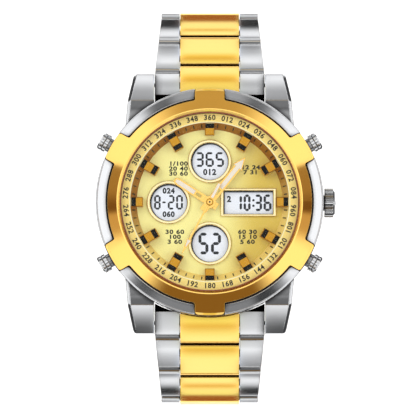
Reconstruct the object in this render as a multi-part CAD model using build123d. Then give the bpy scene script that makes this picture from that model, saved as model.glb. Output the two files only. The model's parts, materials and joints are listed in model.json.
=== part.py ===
from build123d import *
import os
from math import cos, pi, radians, sin, sqrt

# A large wristwatch with hands and four small displays, on a closed two-colour link bracelet.
# Lengths are in millimetres. The dial faces +Z, 12 o'clock is +Y and the crown is at +X.
# The origin is the centre of the case back's outer face.

# Shared clearances
run_gap = 0.05
press_gap = 0.01
seat_gap = 0.1
cut_over = 1.0

# Case middle, from the outside inwards and from the bottom up
case_radius = 24.75
case_foot_inset = 1.35
case_base_z = 0.5
case_flare_height = 2.9
dial_seat_z = 8.2
flange_room = 2.2
rim_height = 1.0
rim_fall = 0.3
rim_edge = 0.3
rim_width = 2.2
rim_corner = 0.5
bezel_groove = 0.35
dial_ledge = 0.7

# Lugs
lug_gap = 24.1
lug_overhang = 3.65
lug_tip_length = 6.1
lug_root_share = 0.525
lug_root_inset = 2.0
lug_root_drop = 0.7
lug_ridge_drop = 1.1
lug_tip_drop = 5.9
lug_under_drop = 1.0
lug_tip_width = 4.45
lug_ridge_flare = 1.3
lug_corner = 1.1
lug_bevel_depth = 0.42

# Case back and its screws
back_border = 0.8
back_thickness = 1.4
back_edge = 0.4
back_step_inset = 0.4
back_step = 0.5
back_gasket_width = 0.5
back_gasket_height = 0.45
screw_count = 4
screw_inset = 1.15
screw_radius = 0.6
screw_head_radius = 0.95
screw_head_height = 0.8
screw_length = 3.6
screw_slot = 0.3
screw_recess = 0.1

# Bezel, crystal and crystal gasket
bezel_width = 2.7
crest_width = 0.7
crest_edge = 0.45
slope_height = 0.84
slope_width = 1.8
slope_foot_rise = 0.96
tab_count = 6
tab_width = 6.4
tab_lip = 0.45
tab_foot_drop = 1.7
tab_root_round = 0.5
tab_tip_round = 0.6
gasket_width = 0.2
gasket_drop = 0.3
crystal_drop = 0.3
crystal_edge = 0.25

# Flange, dial and what is applied to it
flange_width = 1.85
flange_height = 2.8
track_edge = 0.1
track_width = 1.5
dial_thickness = 0.4
marker_overlap = 0.1
marker_long_length = 4.35
marker_short_length = 2.95
marker_width = 2.1
marker_drop = 0.2
marker_edge = 0.15
hub_room = 4.2
window_marker_gap = 0.85
round_frame_wall = 0.68
frame_height = 0.55
frame_edge = 0.12
wide_frame_start = 2.36
wide_window_width = 5.05
wide_frame_wall_x = 0.67
wide_frame_wall_y = 0.55
panel_border = 0.4
panel_thickness = 0.45
panel_drop = 0.15

# Hands, from the photograph's time, as clock angles
hour_clock_angle = 302.8
minute_clock_angle = 38.5
second_clock_angle = 208.3
hand_thickness = 0.2
hand_frame_gap = 0.25
hand_gap = 0.4
second_marker_gap = 0.4
minute_marker_gap = 0.6
hour_shorter = 3.4
hour_width = 1.6
hour_tail = 1.9
minute_width = 1.6
minute_tail = 2.4
minute_head = 3.0
minute_head_width = 2.6
second_width = 0.4
second_tail = 4.7
second_tail_width = 0.8
second_head = 3.3
second_head_width = 1.1
hub_radius = 1.35
second_hub_radius = 0.8
hand_slot_length = 1.3
hand_slot_width = 0.6
hand_slot_start = 2.2
pipe_wall = 0.25
second_pin_radius = 0.3
pipe_reach = 0.8
pipe_step = 0.2

# Movement, holder ring and battery
holder_width = 3.2
holder_wall_gap = 0.15
movement_back_gap = 0.4
movement_edge = 0.4
battery_radius = 4.75
battery_height = 2.7
battery_wall = 4.15
battery_angle = 145.3
battery_can_edge = 0.35

# Crown and winding stem
side_axis_drop = 2.4
crown_radius = 3.15
crown_gap = 0.2
crown_knurl_length = 1.9
crown_dome = 0.55
crown_shoulder_height_share = 0.6
crown_shoulder_width_share = 0.86
crown_flat_share = 0.5
crown_teeth = 24
crown_tooth_depth = 0.22
crown_pull = 1.2
stem_radius = 0.6
stem_reach = 7.3
crown_tube_radius = 1.7

# Pushers, their tubes and springs
pusher_hours = ("2", "4", "8", "10")
pusher_cap_length = 1.85
pusher_cap_radius = 2.0
pusher_cap_edge = 0.3
pusher_cap_top = 0.7
pusher_groove_place_share = 0.4
pusher_groove_width = 0.2
pusher_groove_depth = 0.15
pusher_travel = 0.75
pusher_stem_radius = 0.6
pusher_tube_radius = 1.55
pusher_tube_wall = 0.3
pusher_tube_depth = 2.0
pusher_clip_radius = 1.15
pusher_clip_thickness = 0.3
pusher_stem_end = 0.6
spring_turns = 4
spring_wire = 0.22

# Bracelet rows: pins, links and their widths
rows = 7
row_pitch = 9.25
link_thickness = 3.8
centre_width = 12.9
centre_gap = 0.15
lug_row_gap = 0.25
clasp_outer_width = 2.3
width_share_power = 1.75
pin_radius = 0.6
pin_recess = 0.35
bar_radius = 0.45
cusp_round = 0.35
centre_cusp_round = 0.25
side_round = 0.5
first_pin_reach = 0.15
first_pin_drop = 0.5
end_link_slope = 40.0
row_slopes = [44.0, 52.0, 88.0, 112.0, 136.0, 156.0, 172.0]
end_link_side_gap = 0.1
end_link_length = 8.0
spring_bar_back = 3.4
spring_bar_radius = 0.75
spring_bar_tip_radius = 0.42
spring_bar_tip = 1.2

# Clasp
cover_wall = 0.9
cover_floor = 0.8
cover_side_gap = 0.2
cover_mouth = 6.3
cover_tip = 2.4
cover_wall_rise = 1.3
cover_corner = 1.6
cover_foot_round = 0.6
cover_notch_gap = 0.4
adjust_step = 2.4
adjust_holes = 3
blade_thickness = 0.85
blade_knuckle_radius = 1.15
blade_pin_radius = 0.55
outer_blade_inset = 0.95
outer_knuckle_inset = 2.0
blade_offset_y = 3.4
blade_layer_gap = 0.08
rail_gap = 0.1
rail_width = 1.05
rail_length = 6.0
rail_rise = 1.15
rail_eye_radius = 0.9
clasp_end_gap = 1.25

# Worked out from the values above: radii of the case and what it holds
case_base_radius = case_radius - case_foot_inset
rim_inner_radius = case_radius - rim_width
bezel_outer_radius = rim_inner_radius - bezel_groove
bezel_inner_radius = bezel_outer_radius - bezel_width
crest_outer_radius = bezel_inner_radius + crest_width
tab_radius = case_radius - seat_gap
tab_brow_radius = tab_radius - tab_lip
crystal_radius = bezel_inner_radius - gasket_width
opening_radius = crystal_radius
cavity_radius = opening_radius + dial_ledge
flange_outer_radius = opening_radius - seat_gap
flange_inner_radius = flange_outer_radius - flange_width
track_inner_radius = flange_inner_radius - track_width
dial_radius = cavity_radius - 2 * seat_gap
movement_radius = cavity_radius - holder_width
back_radius = case_base_radius - back_border
back_seat_radius = back_radius + seat_gap
back_step_radius = cavity_radius - back_step_inset
screw_circle = back_radius - screw_inset

# Heights of the case and what it holds
case_flare_z = case_base_z + case_flare_height
bezel_seat_z = dial_seat_z + flange_room
rim_top_z = bezel_seat_z + rim_height
slope_foot_z = rim_top_z + slope_foot_rise
crest_z = slope_foot_z + slope_height
tab_brow_z = crest_z - (tab_brow_radius - crest_outer_radius) * slope_height / slope_width
tab_lip_z = tab_brow_z - tab_lip
tab_foot_z = bezel_seat_z - tab_foot_drop
crystal_top_z = crest_z - crystal_drop
gasket_top_z = crystal_top_z - gasket_drop
flange_top_z = dial_seat_z + flange_height
crystal_low_z = flange_top_z + run_gap
marker_top_z = flange_top_z - marker_drop
dial_low_z = dial_seat_z - dial_thickness
hour_hand_z = dial_seat_z + frame_height + hand_frame_gap
minute_hand_z = hour_hand_z + hand_thickness + hand_gap
second_hand_z = minute_hand_z + hand_thickness + hand_gap
pipe_low_z = dial_low_z - pipe_reach
side_axis_z = dial_seat_z - side_axis_drop
holder_low_z = back_thickness + back_step
movement_low_z = holder_low_z + movement_back_gap

# Places on the dial
marker_outer_radius = flange_inner_radius + marker_overlap
marker_long_inner = marker_outer_radius - marker_long_length
marker_short_inner = marker_outer_radius - marker_short_length
round_frame_radius = (marker_short_inner - window_marker_gap - hub_room) / 2
round_window_radius = round_frame_radius - round_frame_wall
window_offset = hub_room + round_frame_radius
wide_window_start = wide_frame_start + wide_frame_wall_x
wide_window_end = marker_short_inner - run_gap - wide_frame_wall_x
wide_window_length = wide_window_end - wide_window_start
wide_window_x = (wide_window_start + wide_window_end) / 2
second_length = marker_long_inner - second_marker_gap
minute_length = marker_long_inner - minute_marker_gap
hour_length = minute_length - hour_shorter
second_head_start = second_length - second_head
inner_pipe_radius = second_pin_radius + run_gap
minute_pipe_radius = inner_pipe_radius + pipe_wall
hour_pipe_bore = minute_pipe_radius + run_gap
hour_pipe_radius = hour_pipe_bore + pipe_wall
centre_hole_radius = hour_pipe_radius + seat_gap
battery_reach = movement_radius - battery_wall - battery_radius

# Crown and pushers
stem_inner_x = movement_radius - stem_reach
stem_bore_radius = stem_radius + run_gap
crown_low_x = case_radius + crown_gap
crown_face_x = crown_low_x + crown_knurl_length + crown_dome
crown_tube_reach = crown_pull + seat_gap
pusher_cap_low = case_radius + pusher_travel + run_gap
pusher_face_radius = pusher_cap_low + pusher_cap_length
pusher_hollow_end = pusher_face_radius - pusher_cap_top
pusher_groove_x = pusher_cap_low + pusher_cap_length * pusher_groove_place_share
pusher_tube_end = pusher_hollow_end - pusher_travel - seat_gap
pusher_tube_floor = cavity_radius + pusher_tube_depth
pusher_tube_bore = pusher_tube_radius - pusher_tube_wall
spring_radius = (pusher_tube_bore + pusher_stem_radius) / 2

# Lugs and bracelet
lug_tip_y = case_radius + lug_overhang
lug_ridge_y = lug_tip_y - lug_tip_length
lug_root_y = case_radius * lug_root_share
lug_root_z = bezel_seat_z - lug_root_drop
lug_ridge_z = lug_root_z - lug_ridge_drop
lug_tip_top_z = lug_ridge_z - lug_tip_drop
lug_under_z = case_base_z - lug_under_drop
lug_tip_x = lug_gap / 2 + lug_tip_width
lug_ridge_x = lug_tip_x + lug_ridge_flare
lug_root_x = sqrt((case_radius - lug_root_inset) ** 2 - lug_root_y**2)
first_pin_y = lug_tip_y + first_pin_reach
first_pin_z = lug_under_z - first_pin_drop
half_link = link_thickness / 2
joint_radius = half_link + seat_gap
centre_half = centre_width / 2
outer_inner_x = centre_half + centre_gap
lug_row_width = lug_gap - 2 * lug_row_gap
clasp_row_width = 2 * (outer_inner_x + clasp_outer_width)
outer_blade_width = centre_width - 2 * outer_blade_inset
outer_knuckle_width = outer_blade_width - 2 * outer_knuckle_inset
inner_blade_width = centre_width + 2 * (rail_gap + rail_width)
cover_notch_width = inner_blade_width + 2 * cover_notch_gap


def pusher_angles():
    """The turn from the crown's axis to each pusher, by its hour."""
    return {hour: 90 - int(hour) * 360 / 12 for hour in pusher_hours}


def pin_points():
    """The row pins on the 12 o'clock side, as (y, z), from the lugs down to the clasp."""
    points = [(first_pin_y, first_pin_z)]
    for slope in row_slopes:
        y, z = points[-1]
        run = row_pitch * cos(radians(slope))
        drop = row_pitch * sin(radians(slope))
        points.append((y + run, z - drop))
    return points


def row_width(index):
    """Overall width of the bracelet at a pin: it falls quickly first, then evens out at the clasp."""
    share = (1 - index / rows) ** width_share_power
    return clasp_row_width + (lug_row_width - clasp_row_width) * share


pins = pin_points()
clasp_y, clasp_z = pins[-1]
cover_floor_top_z = clasp_z - joint_radius
blade_pin_y = clasp_y - blade_offset_y
outer_blade_low_z = cover_floor_top_z + blade_layer_gap
knuckle_z = outer_blade_low_z + blade_knuckle_radius
outer_blade_top_z = outer_blade_low_z + blade_thickness
inner_blade_low_z = outer_blade_top_z + blade_layer_gap
inner_blade_top_z = inner_blade_low_z + blade_thickness
cover_inner_half = clasp_row_width / 2 + cover_side_gap
cover_outer_half = cover_inner_half + cover_wall


# Shape helpers


def upright(radius, low, high):
    """A cylinder on the Z axis between two heights."""
    return Pos(0, 0, low) * Cylinder(radius, high - low, align=(Align.CENTER, Align.CENTER, Align.MIN))


def tube(outer, inner, low, high):
    """A ring on the Z axis between two heights."""
    return upright(outer, low, high) - upright(inner, low, high)


def turned(points):
    """A closed (radius, height) outline turned about the Z axis."""
    return revolve(Plane.XZ * make_face(Polyline(*points, close=True)), Axis.Z)


def across(face, low_x, high_x):
    """A face drawn in (y, z) extruded along X from one place to another."""
    return Pos(low_x, 0, 0) * extrude(Plane.YZ * face, high_x - low_x)


def rod(radius, low, high):
    """A cylinder on the X axis between two places."""
    return Pos(low, 0, 0) * Rot(0, 90, 0) * Cylinder(
        radius, high - low, align=(Align.CENTER, Align.CENTER, Align.MIN)
    )


def slab(low, high):
    """A box between two corners."""
    size = [b - a for a, b in zip(low, high)]
    return Pos(*low) * Box(*size, align=(Align.MIN, Align.MIN, Align.MIN))


def both_sides(shape):
    """A shape and its mirror image across the YZ plane, as separate solids."""
    return [shape, mirror(shape, Plane.YZ)]


def solids_of(*shapes):
    """One group that keeps every solid of the given shapes apart."""
    found = []
    for shape in shapes:
        found.extend(shape.solids())
    return Compound(children=found)


# Case


def beyond_edge(start, end):
    """All that lies above a sloping plane, which bevels the lug's top edge between two points."""
    along = Vector(*end) - Vector(*start)
    flank = along.cross(Vector(0, 0, 1)).normalized()
    top = Vector(1, 0, 0).cross(along).normalized()
    slope = (flank + top).normalized()
    size = case_radius * 4
    plane = Plane(origin=Vector(*start) - slope * lug_bevel_depth, z_dir=slope)
    return plane * Box(size, size, size, align=(Align.CENTER, Align.CENTER, Align.MIN))


def lug():
    """The lug at upper right: side outline and plan outline crossed, with a bevelled outer edge."""
    root = (lug_root_x, lug_root_y, lug_root_z)
    ridge = (lug_ridge_x, lug_ridge_y, lug_ridge_z)
    tip = (lug_tip_x, lug_tip_y, lug_tip_top_z)
    side = make_face(
        Polyline(
            root[1:],
            ridge[1:],
            tip[1:],
            (lug_tip_y, lug_under_z),
            (lug_ridge_y, (lug_under_z + case_base_z) / 2),
            (lug_root_y, case_base_z),
            close=True,
        )
    )
    side = fillet(side.vertices().sort_by(Axis.X)[-2:], lug_corner)
    inner_x = lug_gap / 2
    plan = make_face(
        Polyline((inner_x, lug_root_y), root[:2], ridge[:2], tip[:2], (inner_x, lug_tip_y), close=True)
    )
    corner = plan.vertices().sort_by(Axis.Y)[-2:].sort_by(Axis.X)[-1]
    plan = fillet(corner, lug_corner)
    block = across(side, 0, case_radius) & extrude(plan, case_radius, both=True)
    return block - beyond_edge(root, ridge) - beyond_edge(ridge, tip)


def four_corners(shape):
    """A shape in the upper right quarter, repeated in all four."""
    pair = [shape, mirror(shape, Plane.YZ)]
    return pair + [mirror(s, Plane.XZ) for s in pair]


def at_tabs(shape):
    """A shape on the X axis repeated at the six bezel tabs."""
    step = 360 / tab_count
    return [Rot(0, 0, step / 2 + step * n) * shape for n in range(tab_count)]


def spring_bar_place():
    """Where the lug spring bar lies, as (y, z)."""
    slope = radians(end_link_slope)
    return (first_pin_y - spring_bar_back * cos(slope), first_pin_z + spring_bar_back * sin(slope))


def side_hole(radius, inner, outer):
    """A hole through the case wall at the height of the crown and pushers, along +X."""
    return Pos(0, 0, side_axis_z) * rod(radius, inner, outer)


def case_middle():
    body = turned(
        [
            (0, case_base_z),
            (case_base_radius, case_base_z),
            (case_radius, case_flare_z),
            (case_radius, rim_top_z - rim_fall - rim_edge),
            (case_radius - rim_edge, rim_top_z - rim_fall),
            (rim_inner_radius, rim_top_z),
            (0, rim_top_z),
        ]
    )
    for piece in four_corners(lug()):
        body += piece
    body -= upright(opening_radius, dial_seat_z, bezel_seat_z + cut_over)
    body -= upright(cavity_radius, lug_under_z - cut_over, dial_seat_z)
    body -= upright(back_seat_radius, lug_under_z - cut_over, back_thickness)
    room = tabbed_disc(rim_inner_radius, case_radius + cut_over, tab_width + 2 * seat_gap, rim_corner)
    body -= Pos(0, 0, bezel_seat_z) * extrude(room, rim_height + cut_over)
    foot_room = slab(
        (bezel_outer_radius, -tab_width / 2 - seat_gap, tab_foot_z - seat_gap),
        (case_radius + cut_over, tab_width / 2 + seat_gap, bezel_seat_z),
    )
    foot_room -= upright(bezel_outer_radius, lug_under_z, rim_top_z)
    for piece in at_tabs(foot_room):
        body -= piece
    for angle in pusher_angles().values():
        body -= Rot(0, 0, angle) * side_hole(pusher_tube_radius + press_gap, 0, case_radius + cut_over)
    body -= side_hole(crown_tube_radius + press_gap, 0, case_radius + cut_over)
    bar_y, bar_z = spring_bar_place()
    hole_end = lug_gap / 2 + spring_bar_tip + seat_gap
    hole = Pos(0, bar_y, bar_z) * rod(spring_bar_tip_radius + run_gap, -hole_end, hole_end)
    body -= hole
    body -= mirror(hole, Plane.XZ)
    for place in screw_places():
        body -= place * upright(screw_radius + press_gap, 0, screw_length + seat_gap)
    return body


def tabbed_disc(radius, reach, width, corner):
    """A disc with six tabs, whose inner corners are rounded."""
    tab = Pos(reach / 2, 0) * Rectangle(reach, width)
    plan = Circle(radius) + at_tabs(tab)
    inner = [v for v in plan.vertices() if abs(Vector(v).length - radius) < press_gap]
    return fillet(inner, corner)


def bezel():
    """A gold ring with a sloped face that runs out over the case rim in six tabs."""
    body = turned(
        [
            (bezel_inner_radius, bezel_seat_z),
            (tab_radius, bezel_seat_z),
            (tab_radius, tab_lip_z),
            (tab_brow_radius, tab_brow_z),
            (crest_outer_radius, crest_z),
            (bezel_inner_radius + crest_edge, crest_z),
            (bezel_inner_radius, crest_z - crest_edge),
        ]
    )
    plan = tabbed_disc(bezel_outer_radius, tab_radius + cut_over, tab_width, tab_root_round)
    plan &= Circle(tab_radius)
    tips = [v for v in plan.vertices() if abs(Vector(v).length - tab_radius) < press_gap]
    plan = fillet(tips, tab_tip_round)
    body &= Pos(0, 0, bezel_seat_z) * extrude(plan, crest_z - bezel_seat_z)
    foot = slab((bezel_outer_radius, -tab_width / 2, tab_foot_z), (tab_radius, tab_width / 2, bezel_seat_z))
    foot -= upright(bezel_outer_radius, tab_foot_z, bezel_seat_z)
    foot &= upright(tab_radius, tab_foot_z, bezel_seat_z)
    foot = fillet(foot.edges().filter_by(Axis.Z).sort_by(Axis.X)[-2:], tab_tip_round)
    for piece in at_tabs(foot):
        body += piece
    return body


def crystal():
    disc = upright(crystal_radius, crystal_low_z, crystal_top_z)
    return chamfer(disc.edges().sort_by(Axis.Z)[-1], crystal_edge)


def crystal_gasket():
    return tube(bezel_inner_radius, crystal_radius, bezel_seat_z, gasket_top_z)


def flange_ring():
    """The ring under the crystal: a flat rim for the numbers, and a steep track down to the dial."""
    return turned(
        [
            (track_inner_radius, dial_seat_z),
            (flange_inner_radius - track_edge, flange_top_z - track_edge),
            (flange_inner_radius, flange_top_z),
            (flange_outer_radius, flange_top_z),
            (flange_outer_radius, dial_seat_z),
        ]
    )


def round_window_places():
    return [Pos(0, window_offset, 0), Pos(-window_offset, 0, 0), Pos(0, -window_offset, 0)]


def wide_plate(grow_x, grow_y, low, high):
    """A block round the wide window, grown by a border on each side."""
    half_x = wide_window_length / 2 + grow_x
    half_y = wide_window_width / 2 + grow_y
    return slab(
        (wide_window_x - half_x, -half_y, low),
        (wide_window_x + half_x, half_y, high),
    )


def dial_plate():
    plate = upright(dial_radius, dial_low_z, dial_seat_z)
    plate -= upright(centre_hole_radius, dial_low_z - cut_over, dial_seat_z + cut_over)
    for place in round_window_places():
        plate -= place * upright(round_window_radius, dial_low_z - cut_over, dial_seat_z + cut_over)
    plate -= wide_plate(0, 0, dial_low_z - cut_over, dial_seat_z + cut_over)
    return plate


def hour_markers():
    """Twelve tall blocks that stand on the dial and lean on the track."""
    blocks = []
    for hour in range(12):
        inner = marker_short_inner if hour % 3 == 0 else marker_long_inner
        block = slab(
            (inner, -marker_width / 2, dial_seat_z),
            (marker_outer_radius, marker_width / 2, marker_top_z),
        )
        block = chamfer(block.edges().filter_by_position(Axis.Z, marker_top_z, marker_top_z), marker_edge)
        block -= flange_ring()
        blocks.append(Rot(0, 0, hour * 360 / 12) * block)
    return solids_of(*blocks)


def display_frames():
    """Bevelled frames round the three round windows and the wide one."""
    top_z = dial_seat_z + frame_height
    low_ring = turned(
        [
            (round_window_radius, dial_seat_z),
            (round_frame_radius, dial_seat_z),
            (round_frame_radius, top_z - frame_edge),
            (round_frame_radius - frame_edge, top_z),
            (round_window_radius + frame_edge, top_z),
            (round_window_radius, top_z - frame_edge),
        ]
    )
    wide = wide_plate(wide_frame_wall_x, wide_frame_wall_y, dial_seat_z, top_z)
    wide -= wide_plate(0, 0, dial_seat_z, top_z)
    wide = chamfer(wide.edges().filter_by_position(Axis.Z, top_z, top_z), frame_edge)
    return solids_of(wide, *[place * low_ring for place in round_window_places()])


def panel_blocks(border, low, high):
    """Room for, or bodies of, the four display panels."""
    blocks = [place * upright(round_window_radius + border, low, high) for place in round_window_places()]
    return blocks + [wide_plate(border, border, low, high)]


def display_panels():
    top_z = dial_low_z - panel_drop
    return solids_of(*panel_blocks(panel_border, top_z - panel_thickness, top_z))


# Movement


def battery_place():
    return Rot(0, 0, battery_angle) * Pos(battery_reach, 0, 0)


def movement_module():
    body = upright(movement_radius, movement_low_z, dial_low_z)
    body = chamfer(body.edges().sort_by(Axis.Z)[0], movement_edge)
    floor_z = dial_low_z - panel_drop - panel_thickness
    for pocket in panel_blocks(panel_border + seat_gap, floor_z, dial_low_z + cut_over):
        body -= pocket
    body -= upright(centre_hole_radius, pipe_low_z - pipe_step * 2 - seat_gap, dial_low_z + cut_over)
    battery_end = movement_low_z + battery_height
    battery_room = upright(battery_radius + seat_gap, movement_low_z - cut_over, battery_end)
    body -= battery_place() * battery_room
    body -= side_hole(stem_bore_radius, stem_inner_x - seat_gap, movement_radius + cut_over)
    return body


def movement_ring():
    """The plastic holder between movement and case, slotted where the stem and pushers pass."""
    outer = cavity_radius - holder_wall_gap
    inner = movement_radius + press_gap
    body = tube(outer, inner, holder_low_z, dial_low_z)
    slot_half = pusher_clip_radius + seat_gap
    slot = slab(
        (movement_radius - cut_over, -slot_half, side_axis_z - slot_half),
        (cavity_radius + cut_over, slot_half, dial_low_z + cut_over),
    )
    for angle in [0, *pusher_angles().values()]:
        body -= Rot(0, 0, angle) * slot
    return body


def battery():
    can = upright(battery_radius, movement_low_z, movement_low_z + battery_height - seat_gap)
    can = chamfer(can.edges().sort_by(Axis.Z)[-1], battery_can_edge)
    return battery_place() * can


# Hands


def hand_outline(points):
    """A hand's plate from the points of its right edge, which the left edge repeats."""
    left = [(-x, y) for x, y in reversed(points) if x > 0]
    return make_face(Polyline(*points, *left, close=True))


def hand_slot():
    return Pos(0, hand_slot_start + hand_slot_length / 2) * Rectangle(hand_slot_width, hand_slot_length)


def placed_hand(face, clock_angle, low_z, bore, pipe, pipe_bottom):
    """A flat hand with its pipe, turned to the time that it shows."""
    plate = Pos(0, 0, low_z) * extrude(face, hand_thickness)
    hand = plate + upright(pipe, pipe_bottom, low_z + hand_thickness)
    if bore:
        hand -= upright(bore, pipe_bottom - cut_over, low_z + hand_thickness + cut_over)
    return Rot(0, 0, -clock_angle) * hand


def hour_hand():
    half = hour_width / 2
    face = hand_outline([(half, -hour_tail), (half, hour_length - half), (half / 2, hour_length)])
    face += Circle(hub_radius)
    face -= hand_slot()
    return placed_hand(
        face, hour_clock_angle, hour_hand_z, hour_pipe_bore, hour_pipe_radius, pipe_low_z + pipe_step
    )


def minute_hand():
    half = minute_width / 2
    head_y = minute_length - minute_head
    face = hand_outline(
        [
            (half, -minute_tail),
            (half, head_y + half / 2),
            (minute_head_width / 2, head_y),
            (0, minute_length),
        ]
    )
    face += Circle(hub_radius)
    face -= hand_slot()
    return placed_hand(
        face, minute_clock_angle, minute_hand_z, inner_pipe_radius, minute_pipe_radius, pipe_low_z
    )


def second_hand():
    half = second_width / 2
    tail_half = second_tail_width / 2
    face = hand_outline(
        [
            (tail_half, -second_tail),
            (tail_half, -second_hub_radius),
            (half, 0),
            (half, second_head_start),
            (second_head_width / 2, second_head_start - half),
            (half / 2, second_length - half),
            (half / 2, second_length),
        ]
    )
    face += Circle(second_hub_radius)
    return placed_hand(
        face, second_clock_angle, second_hand_z, 0, second_pin_radius, pipe_low_z - pipe_step
    )


# Crown and pushers


def along_x(points, axis_z):
    """A closed (x, radius) outline turned about the X axis at a height."""
    face = make_face(Polyline(*points, close=True))
    return Pos(0, 0, axis_z) * revolve(Plane.XZ * face, Axis.X)


def crown():
    """A knurled crown with a shallow dome, bored to slide over its tube."""
    knurl_end = crown_face_x - crown_dome
    root = crown_radius - crown_tooth_depth
    outline = []
    for n in range(crown_teeth * 4):
        radius = crown_radius if n % 4 < 2 else root
        turn = 2 * pi * (n + 0.5) / (crown_teeth * 4)
        outline.append((radius * cos(turn), radius * sin(turn)))
    knurl = extrude(make_face(Polyline(*outline, close=True)), crown_knurl_length)
    knurl = Pos(crown_low_x, 0, side_axis_z) * Rot(0, 90, 0) * knurl
    dome = along_x(
        [
            (knurl_end, 0),
            (knurl_end, root),
            (knurl_end + crown_dome * crown_shoulder_height_share, root * crown_shoulder_width_share),
            (crown_face_x, root * crown_flat_share),
            (crown_face_x, 0),
        ],
        side_axis_z,
    )
    body = knurl + dome
    body -= side_hole(
        crown_tube_radius + run_gap, crown_low_x - cut_over, crown_low_x + crown_tube_reach + seat_gap
    )
    body -= side_hole(stem_radius + press_gap, crown_low_x, knurl_end)
    return body


def winding_stem():
    """The stem from the movement out to the crown, where it is pressed in."""
    return side_hole(stem_radius, stem_inner_x, crown_face_x - crown_dome)


def crown_tube():
    """The tube that the crown slides on, which still holds it when it is pulled out."""
    outer_x = crown_low_x + crown_tube_reach
    body = side_hole(crown_tube_radius, cavity_radius, outer_x)
    return body - side_hole(stem_bore_radius, 0, outer_x + cut_over)


def pusher_tube():
    """A tube pressed in the case wall: a wide bore for the spring and a narrow guide for the stem."""
    body = side_hole(pusher_tube_radius, cavity_radius, pusher_tube_end)
    body -= side_hole(pusher_tube_bore, pusher_tube_floor, pusher_tube_end + cut_over)
    body -= side_hole(pusher_stem_radius + run_gap, 0, pusher_tube_end)
    return body


def case_tubes():
    tubes = [Rot(0, 0, angle) * pusher_tube() for angle in pusher_angles().values()]
    return solids_of(crown_tube(), *tubes)


def pusher():
    """A hollow grooved cap on a stem, with the clip that keeps it in its tube."""
    hollow = pusher_tube_radius + run_gap
    clip_high = cavity_radius - run_gap
    clip_low = clip_high - pusher_clip_thickness
    return along_x(
        [
            (clip_low - pusher_stem_end, 0),
            (clip_low - pusher_stem_end, pusher_stem_radius),
            (clip_low, pusher_stem_radius),
            (clip_low, pusher_clip_radius),
            (clip_high, pusher_clip_radius),
            (clip_high, pusher_stem_radius),
            (pusher_hollow_end, pusher_stem_radius),
            (pusher_hollow_end, hollow),
            (pusher_cap_low, hollow),
            (pusher_cap_low, pusher_cap_radius),
            (pusher_groove_x, pusher_cap_radius),
            (pusher_groove_x, pusher_cap_radius - pusher_groove_depth),
            (pusher_groove_x + pusher_groove_width, pusher_cap_radius - pusher_groove_depth),
            (pusher_groove_x + pusher_groove_width, pusher_cap_radius),
            (pusher_face_radius - pusher_cap_edge, pusher_cap_radius),
            (pusher_face_radius, pusher_cap_radius - pusher_cap_edge),
            (pusher_face_radius, 0),
        ],
        side_axis_z,
    )


def pusher_spring():
    """A square-wire coil between the tube's floor and the cap."""
    length = pusher_hollow_end - pusher_tube_floor - 2 * seat_gap - spring_wire
    path = Helix(length / spring_turns, length, spring_radius)
    section = Plane(origin=path @ 0, x_dir=(1, 0, 0), z_dir=path % 0) * Rectangle(spring_wire, spring_wire)
    coil = sweep(section, path, is_frenet=True)
    start = pusher_tube_floor + seat_gap + spring_wire / 2
    return Pos(start, 0, side_axis_z) * Rot(0, 90, 0) * coil


def pusher_springs():
    return solids_of(*[Rot(0, 0, angle) * pusher_spring() for angle in pusher_angles().values()])


# Case back


def screw_places():
    step = 360 / screw_count
    return [Rot(0, 0, step / 2 + step * n) * Pos(screw_circle, 0, 0) for n in range(screw_count)]


def gasket_middle_radius():
    return (cavity_radius + screw_circle - screw_radius) / 2


def case_back():
    plate = upright(back_radius, 0, back_thickness)
    plate = chamfer(plate.edges().sort_by(Axis.Z)[0], back_edge)
    plate += upright(back_step_radius, back_thickness, back_thickness + back_step)
    middle = gasket_middle_radius()
    plate -= tube(
        middle + back_gasket_width / 2,
        middle - back_gasket_width / 2,
        back_thickness - back_gasket_height,
        back_thickness,
    )
    for place in screw_places():
        plate -= place * upright(screw_head_radius + run_gap, -cut_over, screw_head_height + screw_recess)
        plate -= place * upright(screw_radius + run_gap, 0, back_thickness + cut_over)
    return plate


def back_gasket():
    middle = gasket_middle_radius()
    return tube(
        middle + back_gasket_width / 2,
        middle - back_gasket_width / 2,
        back_thickness - back_gasket_height,
        back_thickness,
    )


def back_screw():
    head = upright(screw_head_radius, screw_recess, screw_recess + screw_head_height)
    shank = upright(screw_radius, screw_recess, screw_length)
    slot = slab(
        (-screw_head_radius, -screw_slot / 2, 0),
        (screw_head_radius, screw_slot / 2, screw_recess + screw_slot),
    )
    return head + shank - slot


def back_screws():
    return solids_of(*[place * back_screw() for place in screw_places()])


# Bracelet


def spring_bar(inner_half, tip_half):
    """A sprung bar on the X axis: a barrel, and a thin tip at each end."""
    return rod(spring_bar_radius, -inner_half, inner_half) + rod(spring_bar_tip_radius, -tip_half, tip_half)


def outer_face(length, at_clasp):
    """Side outline of an outer link: round about its own pin, hollowed about the next one.

    Next to the clasp it is cut straight, so that the clasp's eyes can swing past it.
    """
    body = Pos(length / 2, 0) * Rectangle(length, link_thickness)
    body += Circle(half_link)
    if at_clasp:
        body -= Pos(length, 0) * Rectangle(2 * clasp_end_gap, link_thickness)
    else:
        body -= Pos(length, 0) * Circle(joint_radius)
    return round_ends(body, length / 2, length, cusp_round)


def centre_face(length):
    """Side outline of a centre link: hollowed about its own pin, round about the next one."""
    body = Pos(length / 2, 0) * Rectangle(length, link_thickness)
    body += Pos(length, 0) * Circle(half_link)
    body -= Circle(joint_radius)
    return round_ends(body, -cut_over, length / 2, centre_cusp_round)


def round_ends(face, low, high, radius):
    """Rounds the two thin edges of a hollowed end, which lie on the outline's flats."""
    thin = [v for v in face.vertices() if low < v.X < high and abs(abs(v.Y) - half_link) < press_gap]
    thin = [v for v in thin if abs(v.X) > press_gap and abs(v.X - high) > press_gap]
    return fillet(thin, radius)


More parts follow.
